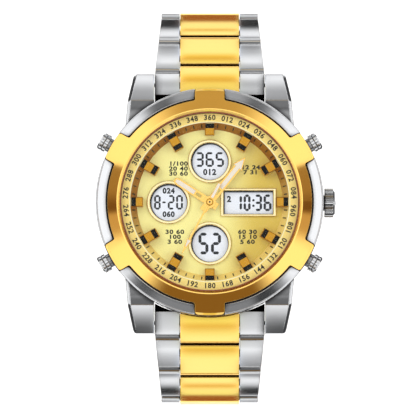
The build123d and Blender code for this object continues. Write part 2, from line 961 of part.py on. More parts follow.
def outer_link(length, near_width, far_width, pin_at, at_clasp):
    """One outer link, whose outer side follows the bracelet's taper."""
    body = across(outer_face(length, at_clasp), outer_inner_x, near_width / 2 + cut_over)
    near_y = -half_link
    end_y = length - clasp_end_gap if at_clasp else length
    slope = (far_width - near_width) / 2 / length
    plan = make_face(
        Polyline(
            (outer_inner_x, near_y),
            (near_width / 2 + slope * near_y, near_y),
            (far_width / 2, end_y),
            (outer_inner_x, end_y),
            close=True,
        )
    )
    plan = fillet(plan.vertices(), side_round)
    body &= extrude(plan, link_thickness, both=True)
    body -= rod(pin_radius + press_gap, outer_inner_x - cut_over, near_width)
    bar_end = far_width / 2 - side_round
    return body - Pos(0, pin_at, 0) * rod(bar_radius + press_gap, outer_inner_x - cut_over, bar_end)


def row_outer(index):
    """The two outer links of a row with its hinge pin and the bar that ties them to the centre."""
    near, far = row_width(index), row_width(index + 1)
    link = outer_link(row_pitch, near, far, row_pitch / 2, index == rows - 1)
    pin_half = near / 2 - pin_recess
    bar_half = far / 2 - side_round * 2
    pin = rod(pin_radius, -pin_half, pin_half)
    bar = Pos(0, row_pitch / 2, 0) * rod(bar_radius, -bar_half, bar_half)
    return solids_of(*both_sides(link), pin, bar)


def row_centre():
    body = across(centre_face(row_pitch), -centre_half, centre_half)
    body -= Pos(0, row_pitch, 0) * rod(pin_radius + run_gap, -centre_width, centre_width)
    body -= Pos(0, row_pitch / 2, 0) * rod(bar_radius + press_gap, -centre_width, centre_width)
    return body


def last_centre():
    """The centre link next to the clasp, bored for the wider spring bar."""
    body = row_centre()
    return body - Pos(0, row_pitch, 0) * rod(spring_bar_radius + run_gap, -centre_width, centre_width)


def row_place(index, side):
    """Carries a row from its own frame to its pin, on the 12 (+1) or 6 (-1) o'clock side."""
    y, z = pins[index]
    place = Pos(0, y, z) * Rot(-row_slopes[index], 0, 0)
    return place if side > 0 else Rot(0, 0, 180) * place


def end_link_frame():
    return Pos(0, first_pin_y, first_pin_z) * Rot(-end_link_slope, 0, 0) * Pos(0, -end_link_length, 0)


def behind_case(shape):
    """Cuts an end link back to the case side, and clear of the case back's edge."""
    shape -= upright(case_radius + seat_gap, -case_radius, case_radius)
    return max(shape.solids(), key=lambda s: s.volume)


def end_link_outer():
    face = Pos(end_link_length / 2, 0) * Rectangle(end_link_length, link_thickness)
    face -= Pos(end_link_length, 0) * Circle(joint_radius)
    face = round_ends(face, end_link_length / 2, end_link_length, cusp_round)
    width = lug_gap / 2 - end_link_side_gap
    body = across(face, outer_inner_x, width)
    bar_bore = rod(spring_bar_radius + run_gap, 0, width + cut_over)
    body -= Pos(0, end_link_length - spring_bar_back, 0) * bar_bore
    return behind_case(end_link_frame() * body)


def end_link_centre():
    face = Pos(end_link_length / 2, 0) * Rectangle(end_link_length, link_thickness)
    face += Pos(end_link_length, 0) * Circle(half_link)
    body = across(face, -centre_half, centre_half)
    bar_bore = rod(spring_bar_radius + run_gap, -centre_width, centre_width)
    body -= Pos(0, end_link_length - spring_bar_back, 0) * bar_bore
    body -= Pos(0, end_link_length, 0) * rod(pin_radius + run_gap, -centre_width, centre_width)
    return behind_case(end_link_frame() * body)


def lug_spring_bar():
    y, z = spring_bar_place()
    return Pos(0, y, z) * spring_bar(lug_gap / 2 - seat_gap, lug_gap / 2 + spring_bar_tip)


def turned_half(shape):
    """A shape and its copy on the 6 o'clock side."""
    return [shape, Rot(0, 0, 180) * shape]


# Clasp


def clasp_cover():
    """A folded channel: floor, two side walls with adjusting holes, and a notch for the blades."""
    low_z = cover_floor_top_z - cover_floor
    high_z = clasp_z + cover_wall_rise
    tip_y = -blade_pin_y - cover_tip + half_link / 2
    mouth_y = clasp_y + cover_mouth
    shell = slab((-cover_outer_half, tip_y, low_z), (cover_outer_half, mouth_y, high_z))
    shell = fillet(shell.edges().filter_by(Axis.Z), cover_corner)
    shell = fillet(shell.edges().group_by(Axis.Z)[0], cover_foot_round)
    room = slab(
        (-cover_inner_half, tip_y - cut_over, cover_floor_top_z),
        (cover_inner_half, mouth_y + cut_over, high_z + cut_over),
    )
    shell -= room
    shell -= slab(
        (-cover_notch_width / 2, tip_y - cut_over, low_z - cut_over),
        (cover_notch_width / 2, -blade_pin_y + blade_knuckle_radius + seat_gap, high_z),
    )
    hole = spring_bar_tip_radius + run_gap
    for n in range(adjust_holes):
        shell -= Pos(0, clasp_y + adjust_step * n, clasp_z) * rod(hole, -cover_outer_half, cover_outer_half)
    pin_hole = rod(blade_pin_radius + press_gap, -cover_outer_half, cover_outer_half)
    return shell - Pos(0, -blade_pin_y, knuckle_z) * pin_hole


def cover_group():
    """The cover with the spring bar to the last row and the pin that carries the blades."""
    pin_half = cover_outer_half - pin_recess
    bar = Pos(0, clasp_y, clasp_z) * spring_bar(cover_inner_half - seat_gap, pin_half)
    pin = Pos(0, -blade_pin_y, knuckle_z) * rod(blade_pin_radius, -pin_half, pin_half)
    return solids_of(clasp_cover(), bar, pin)


def blade_strip(low_y, high_y, half, low_z, high_z):
    return slab((-half, low_y, low_z), (half, high_y, high_z))


def knuckle(y, low_x, high_x):
    return Pos(0, y, knuckle_z) * rod(blade_knuckle_radius, low_x, high_x)


def outer_blade():
    """The long leaf under the cover, with an eye at each end."""
    half = outer_blade_width / 2
    strip = blade_strip(-blade_pin_y, blade_pin_y, half, outer_blade_low_z, outer_blade_top_z)
    strip += knuckle(-blade_pin_y, -half, half)
    room_half = half + cut_over
    clear = blade_knuckle_radius + seat_gap
    for low, high in ((-room_half, -outer_knuckle_width / 2), (outer_knuckle_width / 2, room_half)):
        strip -= Pos(0, blade_pin_y, knuckle_z) * rod(clear, low, high)
    strip += knuckle(blade_pin_y, -outer_knuckle_width / 2, outer_knuckle_width / 2)
    strip -= Pos(0, -blade_pin_y, knuckle_z) * rod(blade_pin_radius + run_gap, -room_half, room_half)
    strip -= Pos(0, blade_pin_y, knuckle_z) * rod(blade_pin_radius + press_gap, -room_half, room_half)
    return strip


def outer_blade_group():
    pin_half = inner_blade_width / 2 - pin_recess
    pin = Pos(0, blade_pin_y, knuckle_z) * rod(blade_pin_radius, -pin_half, pin_half)
    return solids_of(outer_blade(), pin)


def inner_blade():
    """The leaf next to the wrist: eyes at one end, and two rails that hold the other row's end."""
    half = inner_blade_width / 2
    rail_inner = centre_half + rail_gap
    window_end = -blade_pin_y + blade_knuckle_radius + 2 * seat_gap
    strip = blade_strip(window_end, blade_pin_y, half, inner_blade_low_z, inner_blade_top_z)
    for low, high in ((-half, -rail_inner), (rail_inner, half)):
        rail_end = rail_length - clasp_y
        strip += slab((low, -clasp_y, inner_blade_low_z), (high, rail_end, clasp_z + rail_rise))
        strip += Pos(0, -clasp_y, clasp_z) * rod(rail_eye_radius, low, high)
    strip -= Pos(0, -blade_pin_y, knuckle_z) * rod(blade_pin_radius + seat_gap, -half, half)
    knuckle_inner = outer_knuckle_width / 2 + seat_gap
    middle_room = rod(blade_knuckle_radius + seat_gap, -knuckle_inner, knuckle_inner)
    strip -= Pos(0, blade_pin_y, knuckle_z) * middle_room
    for low, high in ((-half, -knuckle_inner), (knuckle_inner, half)):
        strip += knuckle(blade_pin_y, low, high)
    strip -= Pos(0, blade_pin_y, knuckle_z) * rod(blade_pin_radius + run_gap, -half, half)
    strip -= Pos(0, -clasp_y, clasp_z) * rod(spring_bar_tip_radius + run_gap, -half, half)
    return strip


def drawn_bar():
    """The spring bar of the open pivot, with its tips pressed in, clear of the blade's rails."""
    half = centre_half - seat_gap
    return Pos(0, row_pitch, 0) * rod(spring_bar_radius, -half, half)


def all_nodes():
    """Every separate piece or set of alike pieces, by its node's name."""
    nodes = {
        "case_middle": case_middle(),
        "bezel": bezel(),
        "crystal": crystal(),
        "crystal_gasket": crystal_gasket(),
        "flange_ring": flange_ring(),
        "dial_plate": dial_plate(),
        "hour_markers": hour_markers(),
        "display_frames": display_frames(),
        "display_panels": display_panels(),
        "movement_module": movement_module(),
        "movement_ring": movement_ring(),
        "battery": battery(),
        "case_tubes": case_tubes(),
        "case_back": case_back(),
        "back_gasket": back_gasket(),
        "back_screws": back_screws(),
        "spring_bars": solids_of(*turned_half(lug_spring_bar())),
        "end_links": solids_of(*[m for s in both_sides(end_link_outer()) for m in turned_half(s)]),
        "end_link_centres": solids_of(*turned_half(end_link_centre())),
        "hour_hand": hour_hand(),
        "minute_hand": minute_hand(),
        "second_hand": second_hand(),
        "crown": crown(),
        "winding_stem": winding_stem(),
        "pusher_springs": pusher_springs(),
        "clasp_cover": cover_group(),
        "outer_blade": outer_blade_group(),
        "inner_blade": inner_blade(),
    }
    for hour, angle in pusher_angles().items():
        nodes[f"pusher_{hour}"] = Rot(0, 0, angle) * pusher()
    for side, sign in (("12", 1), ("6", -1)):
        for index in range(rows):
            centre = row_centre() if index < rows - 1 else last_centre()
            if index == rows - 1 and sign < 0:
                centre = solids_of(centre, drawn_bar())
            place = row_place(index, sign)
            nodes[f"outer_links_{side}_{index + 1}"] = place * row_outer(index)
            nodes[f"centre_link_{side}_{index + 1}"] = place * centre
    return nodes


os.makedirs("parts", exist_ok=True)
for name, shape in all_nodes().items():
    export_step(shape, f"parts/{name}.step")
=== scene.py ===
# %% [markdown]
# # A large two-colour wristwatch
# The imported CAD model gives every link, lug, screw and hand its place. This lesson dresses it:
# metals, dial print, liquid crystal digits, luminous paint, glass, and the light of a small studio.
# Lengths are written in millimetres and turned to metres once, because Blender works in metres.

# %% Load the frame
import json
import math

import bmesh
import bpy
from mathutils import Matrix, Vector


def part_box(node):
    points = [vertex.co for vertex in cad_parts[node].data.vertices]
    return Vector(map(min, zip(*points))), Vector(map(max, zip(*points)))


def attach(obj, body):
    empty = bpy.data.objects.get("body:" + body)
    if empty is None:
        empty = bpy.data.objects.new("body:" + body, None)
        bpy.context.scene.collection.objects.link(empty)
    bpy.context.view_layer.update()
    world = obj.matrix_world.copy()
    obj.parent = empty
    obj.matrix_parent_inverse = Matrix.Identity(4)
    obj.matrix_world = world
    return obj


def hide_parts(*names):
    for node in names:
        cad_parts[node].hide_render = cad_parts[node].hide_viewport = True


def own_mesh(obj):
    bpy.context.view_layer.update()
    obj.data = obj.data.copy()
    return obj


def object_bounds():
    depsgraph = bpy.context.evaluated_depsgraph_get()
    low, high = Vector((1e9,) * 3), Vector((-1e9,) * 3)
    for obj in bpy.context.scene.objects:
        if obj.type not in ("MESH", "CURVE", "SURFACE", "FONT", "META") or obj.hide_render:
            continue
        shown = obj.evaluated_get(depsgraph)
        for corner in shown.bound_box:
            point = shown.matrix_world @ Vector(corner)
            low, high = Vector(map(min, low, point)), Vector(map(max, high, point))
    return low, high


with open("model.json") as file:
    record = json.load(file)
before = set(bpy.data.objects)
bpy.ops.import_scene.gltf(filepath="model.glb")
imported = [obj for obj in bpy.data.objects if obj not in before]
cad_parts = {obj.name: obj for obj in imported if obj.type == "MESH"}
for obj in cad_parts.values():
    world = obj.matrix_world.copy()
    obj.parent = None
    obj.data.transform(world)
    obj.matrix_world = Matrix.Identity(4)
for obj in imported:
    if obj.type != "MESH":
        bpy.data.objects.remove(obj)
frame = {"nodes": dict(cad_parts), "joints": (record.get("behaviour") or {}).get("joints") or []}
cad_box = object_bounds()
MM = 0.001
scene = bpy.context.scene
nodes = frame["nodes"]
print("CAD box in mm:", [[round(v / MM, 2) for v in corner] for corner in cad_box])

# %% [markdown]
# ## Helpers for colour and for materials
# A colour picked from a picture is sRGB, and a shader wants linear light, so one function turns it.
# One more function adds a node, sets it up and links it, which keeps each recipe readable.

# %% Colour and node helpers


def linear(hex_colour):
    """An sRGB hex colour as linear red, green, blue and full alpha."""
    parts = [int(hex_colour[i : i + 2], 16) / 255 for i in (1, 3, 5)]
    return [*[c / 12.92 if c <= 0.04045 else ((c + 0.055) / 1.055) ** 2.4 for c in parts], 1.0]


def add_node(tree, kind, settings=None, sockets=None, links=None):
    """Adds one node with its settings, its socket values and the links into it."""
    made = tree.nodes.new(kind)
    for name, value in (settings or {}).items():
        setattr(made, name, value)
    for name, value in (sockets or {}).items():
        made.inputs[name].default_value = value
    for name, output in (links or {}).items():
        tree.links.new(output, made.inputs[name])
    return made


def new_material(name, **sockets):
    """A material with a Principled shader, and the shader itself for what is linked into it."""
    material = bpy.data.materials.new(name)
    material.use_nodes = True
    shader = material.node_tree.nodes["Principled BSDF"]
    for socket, value in sockets.items():
        shader.inputs[socket.replace("_", " ")].default_value = value
    return material, material.node_tree, shader


print("mid grey in linear light:", round(linear("#808080")[0], 3))

# %% [markdown]
# Every pattern is laid out in Object coordinates, in real millimetres, so it stays on its piece
# when a joint moves. Noise of one grain size serves many finishes.

# %% Patterns at a real size


def object_coordinates(tree, scale_x, scale_y, scale_z):
    """Object coordinates with a scale on each axis, in repeats per metre."""
    place = add_node(tree, "ShaderNodeTexCoord").outputs["Object"]
    stretch = add_node(
        tree,
        "ShaderNodeMapping",
        sockets={"Scale": (scale_x, scale_y, scale_z)},
        links={"Vector": place},
    )
    return stretch.outputs["Vector"]


def grain_noise(tree, grain_mm, detail=2.0):
    """Even noise whose grains are about this size."""
    noise = add_node(
        tree,
        "ShaderNodeTexNoise",
        sockets={"Scale": 1.0, "Detail": detail},
        links={"Vector": object_coordinates(tree, *[1 / (grain_mm * MM)] * 3)},
    )
    return noise.outputs["Fac"]


def vary(tree, shader, socket, pattern, low, high):
    """Lets a pattern from 0 to 1 move a shader's value between two limits."""
    spread = add_node(
        tree,
        "ShaderNodeMapRange",
        sockets={"To Min": low, "To Max": high},
        links={"Value": pattern},
    )
    tree.links.new(spread.outputs["Result"], shader.inputs[socket])


# %% [markdown]
# No real edge is perfectly sharp, and no seam is as bright as the face beside it. A bevel node
# rounds the edges, a bump node raises a pattern, and ambient occlusion paints shade into the colour
# of what lies deep.

# %% Edges, bumps and painted shade in crevices


def add_bump(tree, shader, height, depth_mm, strength, edge_mm=0.0):
    """Feeds a height pattern to the shader's normal, with the edges rounded by a small radius."""
    bump = add_node(
        tree,
        "ShaderNodeBump",
        sockets={"Distance": depth_mm * MM, "Strength": strength},
        links={"Height": height},
    )
    if shader.inputs["Normal"].is_linked:
        tree.links.new(shader.inputs["Normal"].links[0].from_socket, bump.inputs["Normal"])
    elif edge_mm:
        tree.links.new(round_edges(tree, edge_mm), bump.inputs["Normal"])
    tree.links.new(bump.outputs["Normal"], shader.inputs["Normal"])


def round_edges(tree, radius_mm):
    """A normal that turns smoothly over sharp edges, as if they were broken by polishing."""
    soft = add_node(
        tree, "ShaderNodeBevel", settings={"samples": 8}, sockets={"Radius": radius_mm * MM}
    )
    return soft.outputs["Normal"]


def paint_crevice_shade(tree, shader, colour, reach_mm, floor, open_at, shut_at):
    """Paints shade into the colour of seams and grooves, where little light gets in."""
    openness = add_node(
        tree,
        "ShaderNodeAmbientOcclusion",
        settings={"samples": 6},
        sockets={"Distance": reach_mm * MM},
    )
    level = add_node(
        tree,
        "ShaderNodeMapRange",
        sockets={"From Min": shut_at, "From Max": open_at, "To Min": floor, "To Max": 1.0},
        links={"Value": openness.outputs["AO"]},
    )
    shade = add_node(
        tree,
        "ShaderNodeMix",
        settings={"data_type": "RGBA", "blend_type": "MULTIPLY"},
        sockets={0: 1.0, 6: linear(colour)},
        links={7: level.outputs["Result"]},
    )
    tree.links.new(shade.outputs[2], shader.inputs["Base Color"])


# %% [markdown]
# ## Metals
# The case and the outer links are 316L stainless steel. Lugs and case are polished on felt wheels,
# which leaves a mirror with faint haze. Links are drawn over fine abrasive belts, so they carry
# hair lines that blur a reflection across them. Real hairs lie a few hundredths of a millimetre
# apart, and they are drawn at 0.12 to 0.14 mm, which is as fine as the picture can show. The gold
# colour is a vapour-deposited plating over the same steel, so it is as smooth as the steel below.

# %% Polished and brushed metals
HAZE_MM = 3.0
HAIR_LENGTH_MM = 6.0


def polished_metal(name, colour, roughness, shade_reach_mm=0.7, edge_mm=0.1, open_at=0.85, shut_at=0.5):
    """A buffed metal: a mirror whose haze changes a little from place to place."""
    material, tree, shader = new_material(
        name, Base_Color=linear(colour), Metallic=1.0, Roughness=roughness
    )
    haze = grain_noise(tree, HAZE_MM, detail=3.0)
    vary(tree, shader, "Roughness", haze, roughness * 0.7, roughness * 1.3)
    tree.links.new(round_edges(tree, edge_mm), shader.inputs["Normal"])
    # Painted shade: the colour goes dark in the seams and grooves that ambient occlusion finds.
    paint_crevice_shade(tree, shader, colour, shade_reach_mm, 0.03, open_at, shut_at)
    return material


def brushed_metal(name, colour, roughness, hair_mm, depth_mm):
    """A belt-brushed metal: long hairs along X, as far apart as hair_mm says."""
    material, tree, shader = new_material(
        name, Base_Color=linear(colour), Metallic=1.0, Roughness=roughness
    )
    across = 1 / (hair_mm * MM)
    hairs = add_node(
        tree,
        "ShaderNodeTexNoise",
        sockets={"Scale": 1.0, "Detail": 4.0},
        links={"Vector": object_coordinates(tree, 1 / (HAIR_LENGTH_MM * MM), across, across)},
    ).outputs["Fac"]
    vary(tree, shader, "Roughness", hairs, roughness * 0.75, roughness * 1.25)
    add_bump(tree, shader, hairs, depth_mm, 0.5, edge_mm=0.15)
    # Painted shade: the colour goes dark in the joints and grooves between links.
    paint_crevice_shade(tree, shader, colour, 2.0, 0.01, open_at=0.93, shut_at=0.6)
    return material


STEEL = "#CDCED0"
GOLD = "#FFD272"
mirror_steel = polished_metal("polished_316L_steel", STEEL, 0.08, edge_mm=0.12)
link_steel = brushed_metal("belt_brushed_316L_steel", STEEL, 0.1, hair_mm=0.14, depth_mm=0.0006)
back_steel = brushed_metal("lapped_316L_steel", STEEL, 0.22, hair_mm=0.12, depth_mm=0.002)
pin_steel = polished_metal("turned_301_steel", "#B9BABD", 0.2)
knurled_steel = polished_metal(
    "knurled_316L_steel", "#E2E3E5", 0.1, shade_reach_mm=0.8, edge_mm=0.05, open_at=0.93, shut_at=0.76
)
mirror_gold = polished_metal(
    "polished_gold_plating", GOLD, 0.09, shade_reach_mm=1.0, open_at=0.9, shut_at=0.6
)
link_gold = brushed_metal("brushed_gold_plating", GOLD, 0.1, hair_mm=0.14, depth_mm=0.0006)
hand_gold = polished_metal("diamond_cut_gilt_brass", "#FFCF70", 0.16, shade_reach_mm=0.35)
print("metals made:", len(bpy.data.materials))

# %% [markdown]
# Belt and wheel never leave a face quite flat. Each lug facet and each link is crowned by about a
# fifth of a millimetre along the wrist, which turns one even reflection into a run from light to
# dark. A bump whose height falls off with the square of the distance from the middle gives it.

# %% Crowned links


def combine(tree, operation, first, second=0.0, third=0.0):
    """One step of arithmetic on outputs or on plain numbers."""
    step = add_node(tree, "ShaderNodeMath", settings={"operation": operation})
    for index, value in enumerate((first, second, third)):
        if isinstance(value, (int, float)):
            step.inputs[index].default_value = value
        else:
            tree.links.new(value, step.inputs[index])
    return step.outputs["Value"]


def radius_mask(tree, low_mm, high_mm):
    """0 inside a radius about the Z axis and 1 outside a second radius."""
    distance = add_node(
        tree,
        "ShaderNodeVectorMath",
        settings={"operation": "LENGTH"},
        links={"Vector": object_coordinates(tree, 1, 1, 0)},
    )
    mask = add_node(
        tree,
        "ShaderNodeMapRange",
        sockets={"From Min": low_mm * MM, "From Max": high_mm * MM},
        links={"Value": distance.outputs["Value"]},
    )
    return mask.outputs["Result"]


def distance_along(tree, spot, direction):
    """How far a spot lies along a direction."""
    along = add_node(
        tree,
        "ShaderNodeVectorMath",
        settings={"operation": "DOT_PRODUCT"},
        sockets={1: direction},
        links={0: spot},
    )
    return along.outputs["Value"]


def crown_link(metal, name, middle, direction, half_length, crown_mm=0.22, both_sides=False):
    """A copy of a link's metal, crowned along its own direction about its own middle."""
    material = metal.copy()
    material.name = name
    tree = material.node_tree
    spot = object_coordinates(tree, 1, 1, 1)
    if both_sides:
        parts = add_node(tree, "ShaderNodeSeparateXYZ", links={"Vector": spot}).outputs
        folded = {"Y": combine(tree, "ABSOLUTE", parts["Y"]), "Z": parts["Z"]}
        spot = add_node(tree, "ShaderNodeCombineXYZ", links=folded).outputs["Vector"]
    along = distance_along(tree, spot, direction / half_length)
    from_middle = combine(tree, "SUBTRACT", along, middle.dot(direction) / half_length)
    height = combine(tree, "MULTIPLY", combine(tree, "MULTIPLY", from_middle, from_middle), -1.0)
    add_bump(tree, tree.nodes["Principled BSDF"], height, crown_mm, 1.0)
    return material


# %% [markdown]
# A lug has one facet above its ridge and one below it, so its crown is made of two such bumps.

# %% Crowned lugs
LUG_TIP, LUG_RIDGE, LUG_ROOT, CASE_RADIUS = 28.4, 22.3, 13.0, 24.75
CASE_EDGE, LUG_CROWN = 0.02, 0.27
case_steel = polished_metal(
    "polished_316L_steel_case", STEEL, 0.08, shade_reach_mm=1.2, edge_mm=0.3, open_at=0.93, shut_at=0.6
)
tree = case_steel.node_tree
in_mm = object_coordinates(tree, *[1 / MM] * 3)
place = add_node(tree, "ShaderNodeSeparateXYZ", links={"Vector": in_mm})
reach = combine(tree, "ABSOLUTE", place.outputs["Y"])
hollows = []
for low_y, high_y in ((LUG_RIDGE, LUG_TIP), (LUG_ROOT, LUG_RIDGE)):
    from_middle = combine(tree, "SUBTRACT", reach, (low_y + high_y) / 2)
    share = combine(tree, "DIVIDE", from_middle, (high_y - low_y) / 2)
    hollows.append(combine(tree, "MULTIPLY", share, share))
beyond_ridge = combine(tree, "GREATER_THAN", reach, LUG_RIDGE)
step_up = combine(tree, "SUBTRACT", hollows[0], hollows[1])
drop = combine(tree, "MULTIPLY_ADD", beyond_ridge, step_up, hollows[1])
on_lug = radius_mask(tree, CASE_RADIUS - CASE_EDGE, CASE_RADIUS + CASE_EDGE)
height = combine(tree, "MULTIPLY", combine(tree, "MULTIPLY", drop, on_lug), -1.0)
add_bump(tree, tree.nodes["Principled BSDF"], height, LUG_CROWN, 1.0)
print(case_steel.name, "crowned between", LUG_ROOT, "and", LUG_TIP, "mm")

# %% [markdown]
# The ring under the crystal has two faces. Its flat rim is bead-blasted and carries the numbers.
# Its steep inner wall is a smoother track with painted light and shade: deep amber painted shade
# round the top, where the wall looks away from the lamp, and pale painted light round the bottom,
# where it looks towards it. A thin pale line along the rim's inner edge is a painted highlight. One
# material serves both faces, because the distance from the centre tells them apart. Real blasting
# is finer than the picture can show, so its grains are drawn coarser.

# %% Blasted flange ring with its track
TRACK_EDGE, RIM_HIGHLIGHT = (17.2, 17.3), (17.42, 17.48)
TRACK_LIGHT_SIDES = ((-0.25, 1, 0), 4, -9)
BLAST_MM, DRIFT_MM = 0.16, 0.5


def mix_colours(tree, mask, low_colour, high_colour):
    """Two colours, or the outputs of two nodes, mixed by a mask."""
    mix = add_node(tree, "ShaderNodeMix", settings={"data_type": "RGBA"}, links={0: mask})
    for index, colour in ((6, low_colour), (7, high_colour)):
        if isinstance(colour, str):
            mix.inputs[index].default_value = linear(colour)
        else:
            tree.links.new(colour, mix.inputs[index])
    return mix.outputs[2]


def ramp_along(tree, direction, start_mm, end_mm):
    """A smooth run from 0 to 1 along a direction, between two distances from the centre."""
    run = add_node(
        tree,
        "ShaderNodeMapRange",
        settings={"interpolation_type": "SMOOTHSTEP"},
        sockets={"From Min": start_mm * MM, "From Max": end_mm * MM},
        links={"Value": distance_along(tree, object_coordinates(tree, 1, 1, 1), direction)},
    )
    return run.outputs["Result"]


flange_gold, tree, shader = new_material("bead_blasted_gilt_brass", Metallic=0.1, Roughness=0.45)
grains = grain_noise(tree, BLAST_MM)
rim = mix_colours(tree, grains, "#F8C54A", "#FFFAA6")
# Painted shade in deep amber at the top of the track and painted light in pale gold at the bottom.
shaded = mix_colours(tree, grain_noise(tree, DRIFT_MM), "#925802", "#B27208")
lit = mix_colours(tree, grain_noise(tree, DRIFT_MM), "#F2CC5C", "#FFEC98")
track = mix_colours(tree, ramp_along(tree, *TRACK_LIGHT_SIDES), shaded, lit)
# A painted highlight: a thin pale line along the rim's inner edge.
painted_rim_highlight = mix_colours(tree, radius_mask(tree, *RIM_HIGHLIGHT), "#FFF8C8", rim)
ring = mix_colours(tree, radius_mask(tree, *TRACK_EDGE), track, painted_rim_highlight)
tree.links.new(ring, shader.inputs["Base Color"])
add_bump(tree, shader, grains, 0.01, 0.4)
print(flange_gold.name, "with a track inside", TRACK_EDGE[0], "mm")

# %% [markdown]
# The dial is a brass disc, blasted, plated and lacquered in champagne. Painted light makes it
# palest at the left, and painted shade deepens it to gold towards the right, where less light falls
# across it. Its grains too are drawn coarser than the real ones.

# %% Champagne dial
DIAL_LIGHT_RUN = ((1, -0.1, 0), 1.5, 11)
DIAL_GRAIN_MM = 0.14
dial_finish, tree, shader = new_material("champagne_lacquered_brass", Roughness=0.38)
# Painted light at the left and painted shade towards the right, in the dial's colour.
painted_dial_light = mix_colours(tree, ramp_along(tree, *DIAL_LIGHT_RUN), "#FFF9A6", "#DFC454")
fleck = mix_colours(tree, grain_noise(tree, DIAL_GRAIN_MM), "#F4EFD8", "#FFFEF6")
fleck_and_painted_light = add_node(
    tree,
    "ShaderNodeMix",
    settings={"data_type": "RGBA", "blend_type": "MULTIPLY"},
    sockets={0: 0.55},
    links={6: painted_dial_light, 7: fleck},
)
tree.links.new(fleck_and_painted_light.outputs[2], shader.inputs["Base Color"])
add_bump(tree, shader, grain_noise(tree, DIAL_GRAIN_MM), 0.006, 0.35)
print(dial_finish.name)

# %% [markdown]
# ## Glass, rubber, plastic and paint
# Mineral glass of this thickness is clear from the front, so it is a faint coat with a sharp gloss.
# Rubber, moulded plastics and printed ink are dark and even, with a grain in their surface.
# Luminous paint is a thick cream whose tone drifts a little, and so does a liquid crystal panel's.

# %% Non-metals


def grained(name, colour, roughness, grain_mm, depth_mm):
    """A moulded or printed finish: one colour, with a fine even grain in its surface."""
    material, tree, shader = new_material(name, Base_Color=linear(colour), Roughness=roughness)
    add_bump(tree, shader, grain_noise(tree, grain_mm), depth_mm, 0.3)
    return material


def mottled(name, colour, tones, roughness, grain_mm):
    """A painted finish whose colour drifts between two tones about its own."""
    material, tree, shader = new_material(name, Base_Color=linear(colour), Roughness=roughness)
    drift = mix_colours(tree, grain_noise(tree, grain_mm), *tones)
    tree.links.new(drift, shader.inputs["Base Color"])
    return material


crystal_glass = new_material(
    "mineral_glass", Base_Color=linear("#3A4650"), Roughness=0.02, Alpha=0.04
)[0]
# The gasket's brownish amber is a painted reflection of the gold bezel in the crystal's edge.
gasket_nylon_painted_reflection, tree, shader = new_material(
    "amber_nylon_gasket", Base_Color=linear("#8C3A0A"), Roughness=0.35, Coat_Weight=0.4
)
vary(tree, shader, "Roughness", grain_noise(tree, 0.6), 0.3, 0.45)
seal_rubber = grained("nitrile_seal", "#15130F", 0.6, 0.15, 0.01)
movement_plastic = grained("moulded_ABS_black", "#1A1A1B", 0.45, 0.2, 0.01)
holder_plastic = grained("moulded_POM_white", "#D8D6CF", 0.5, 0.25, 0.01)
print_ink = grained("pad_printed_ink", "#15120A", 0.5, 0.1, 0.003)
lume_paint = mottled("luminous_paint", "#EFE4D2", ("#E6D9C2", "#F4EBDC"), 0.55, 0.2)
panel_glass = mottled("liquid_crystal_panel", "#D9DEE6", ("#EAF0FC", "#F2F7FF"), 0.3, 0.3)
digit_black, tree, shader = new_material(
    "liquid_crystal_digit", Base_Color=linear("#0C1216"), Roughness=0.25
)
vary(tree, shader, "Roughness", grain_noise(tree, 0.3), 0.2, 0.35)
print("non-metals made, materials now:", len(bpy.data.materials))

# %% [markdown]
# ## Markers and display frames
# An hour marker is a gilt block with a painted highlight on its tip, and black inserts are let into
# its top.
# An insert is pressed with fine ribs, and a slanted wave pattern gives them their light and dark.
# The display frames are plated paler than the markers.

# %% Marker and frame finishes
RIB_MM = 1.2
MARKER_TIP_HIGHLIGHT = (17.06, 17.1)
insert_black, tree, shader = new_material(
    "ribbed_black_insert", Base_Color=linear("#17150C"), Roughness=0.45
)
shader.inputs["Specular IOR Level"].default_value = 0.1
ribs = add_node(
    tree,
    "ShaderNodeTexWave",
    settings={"bands_direction": "DIAGONAL"},
    sockets={"Scale": 1.0, "Distortion": 0.0},
    links={"Vector": object_coordinates(tree, *[1 / (RIB_MM * MM)] * 3)},
).outputs["Fac"]
tree.links.new(mix_colours(tree, ribs, "#080703", "#221E12"), shader.inputs["Base Color"])
add_bump(tree, shader, ribs, 0.02, 0.5)
marker_gold, tree, shader = new_material("faceted_gilt_marker", Metallic=0.8, Roughness=0.3)
# A painted highlight on each marker's outer tip.
painted_tip_highlight = mix_colours(tree, radius_mask(tree, *MARKER_TIP_HIGHLIGHT), "#CC9426", "#FFEBA8")
tree.links.new(painted_tip_highlight, shader.inputs["Base Color"])
tree.links.new(round_edges(tree, 0.12), shader.inputs["Normal"])
frame_gold = polished_metal("pale_gilt_frame", "#FFEDB4", 0.2, shade_reach_mm=0.1)
print(insert_black.name, marker_gold.name, frame_gold.name)

# %% [markdown]
# ## The CAD nodes get their finishes
# A node whose shape is right stays where the frame put it and only changes its material. Each row
# of the bracelet has its own copies of steel and gold, crowned between its pin and the next one.

# %% Assign finishes
finishes = {
    "case_middle": case_steel,
    "bezel": mirror_gold,
    "crystal": crystal_glass,
    "crystal_gasket": gasket_nylon_painted_reflection,
    "flange_ring": flange_gold,
    "dial_plate": dial_finish,
    "hour_markers": marker_gold,
    "display_frames": frame_gold,
    "display_panels": panel_glass,
    "movement_module": movement_plastic,
    "movement_ring": holder_plastic,
    "battery": pin_steel,
    "case_tubes": pin_steel,
    "case_back": back_steel,
    "back_gasket": seal_rubber,
    "back_screws": pin_steel,
    "spring_bars": pin_steel,
    "end_links": link_steel,
    "end_link_centres": link_gold,
    "hour_hand": hand_gold,
    "minute_hand": hand_gold,
    "second_hand": hand_gold,
    "crown": knurled_steel,
    "winding_stem": pin_steel,
    "pusher_springs": pin_steel,
    "clasp_cover": link_steel,
    "outer_blade": back_steel,
    "inner_blade": back_steel,
}
PINS = {
    joint["child"]: Vector(joint["pos_m"])
    for joint in frame["joints"]
    if joint["type"] == "hinge" and "row" in joint["child"]
}
WRIST_MIDDLE = Vector((0, 0, -18)) * MM
SKIN = 0.3 * MM


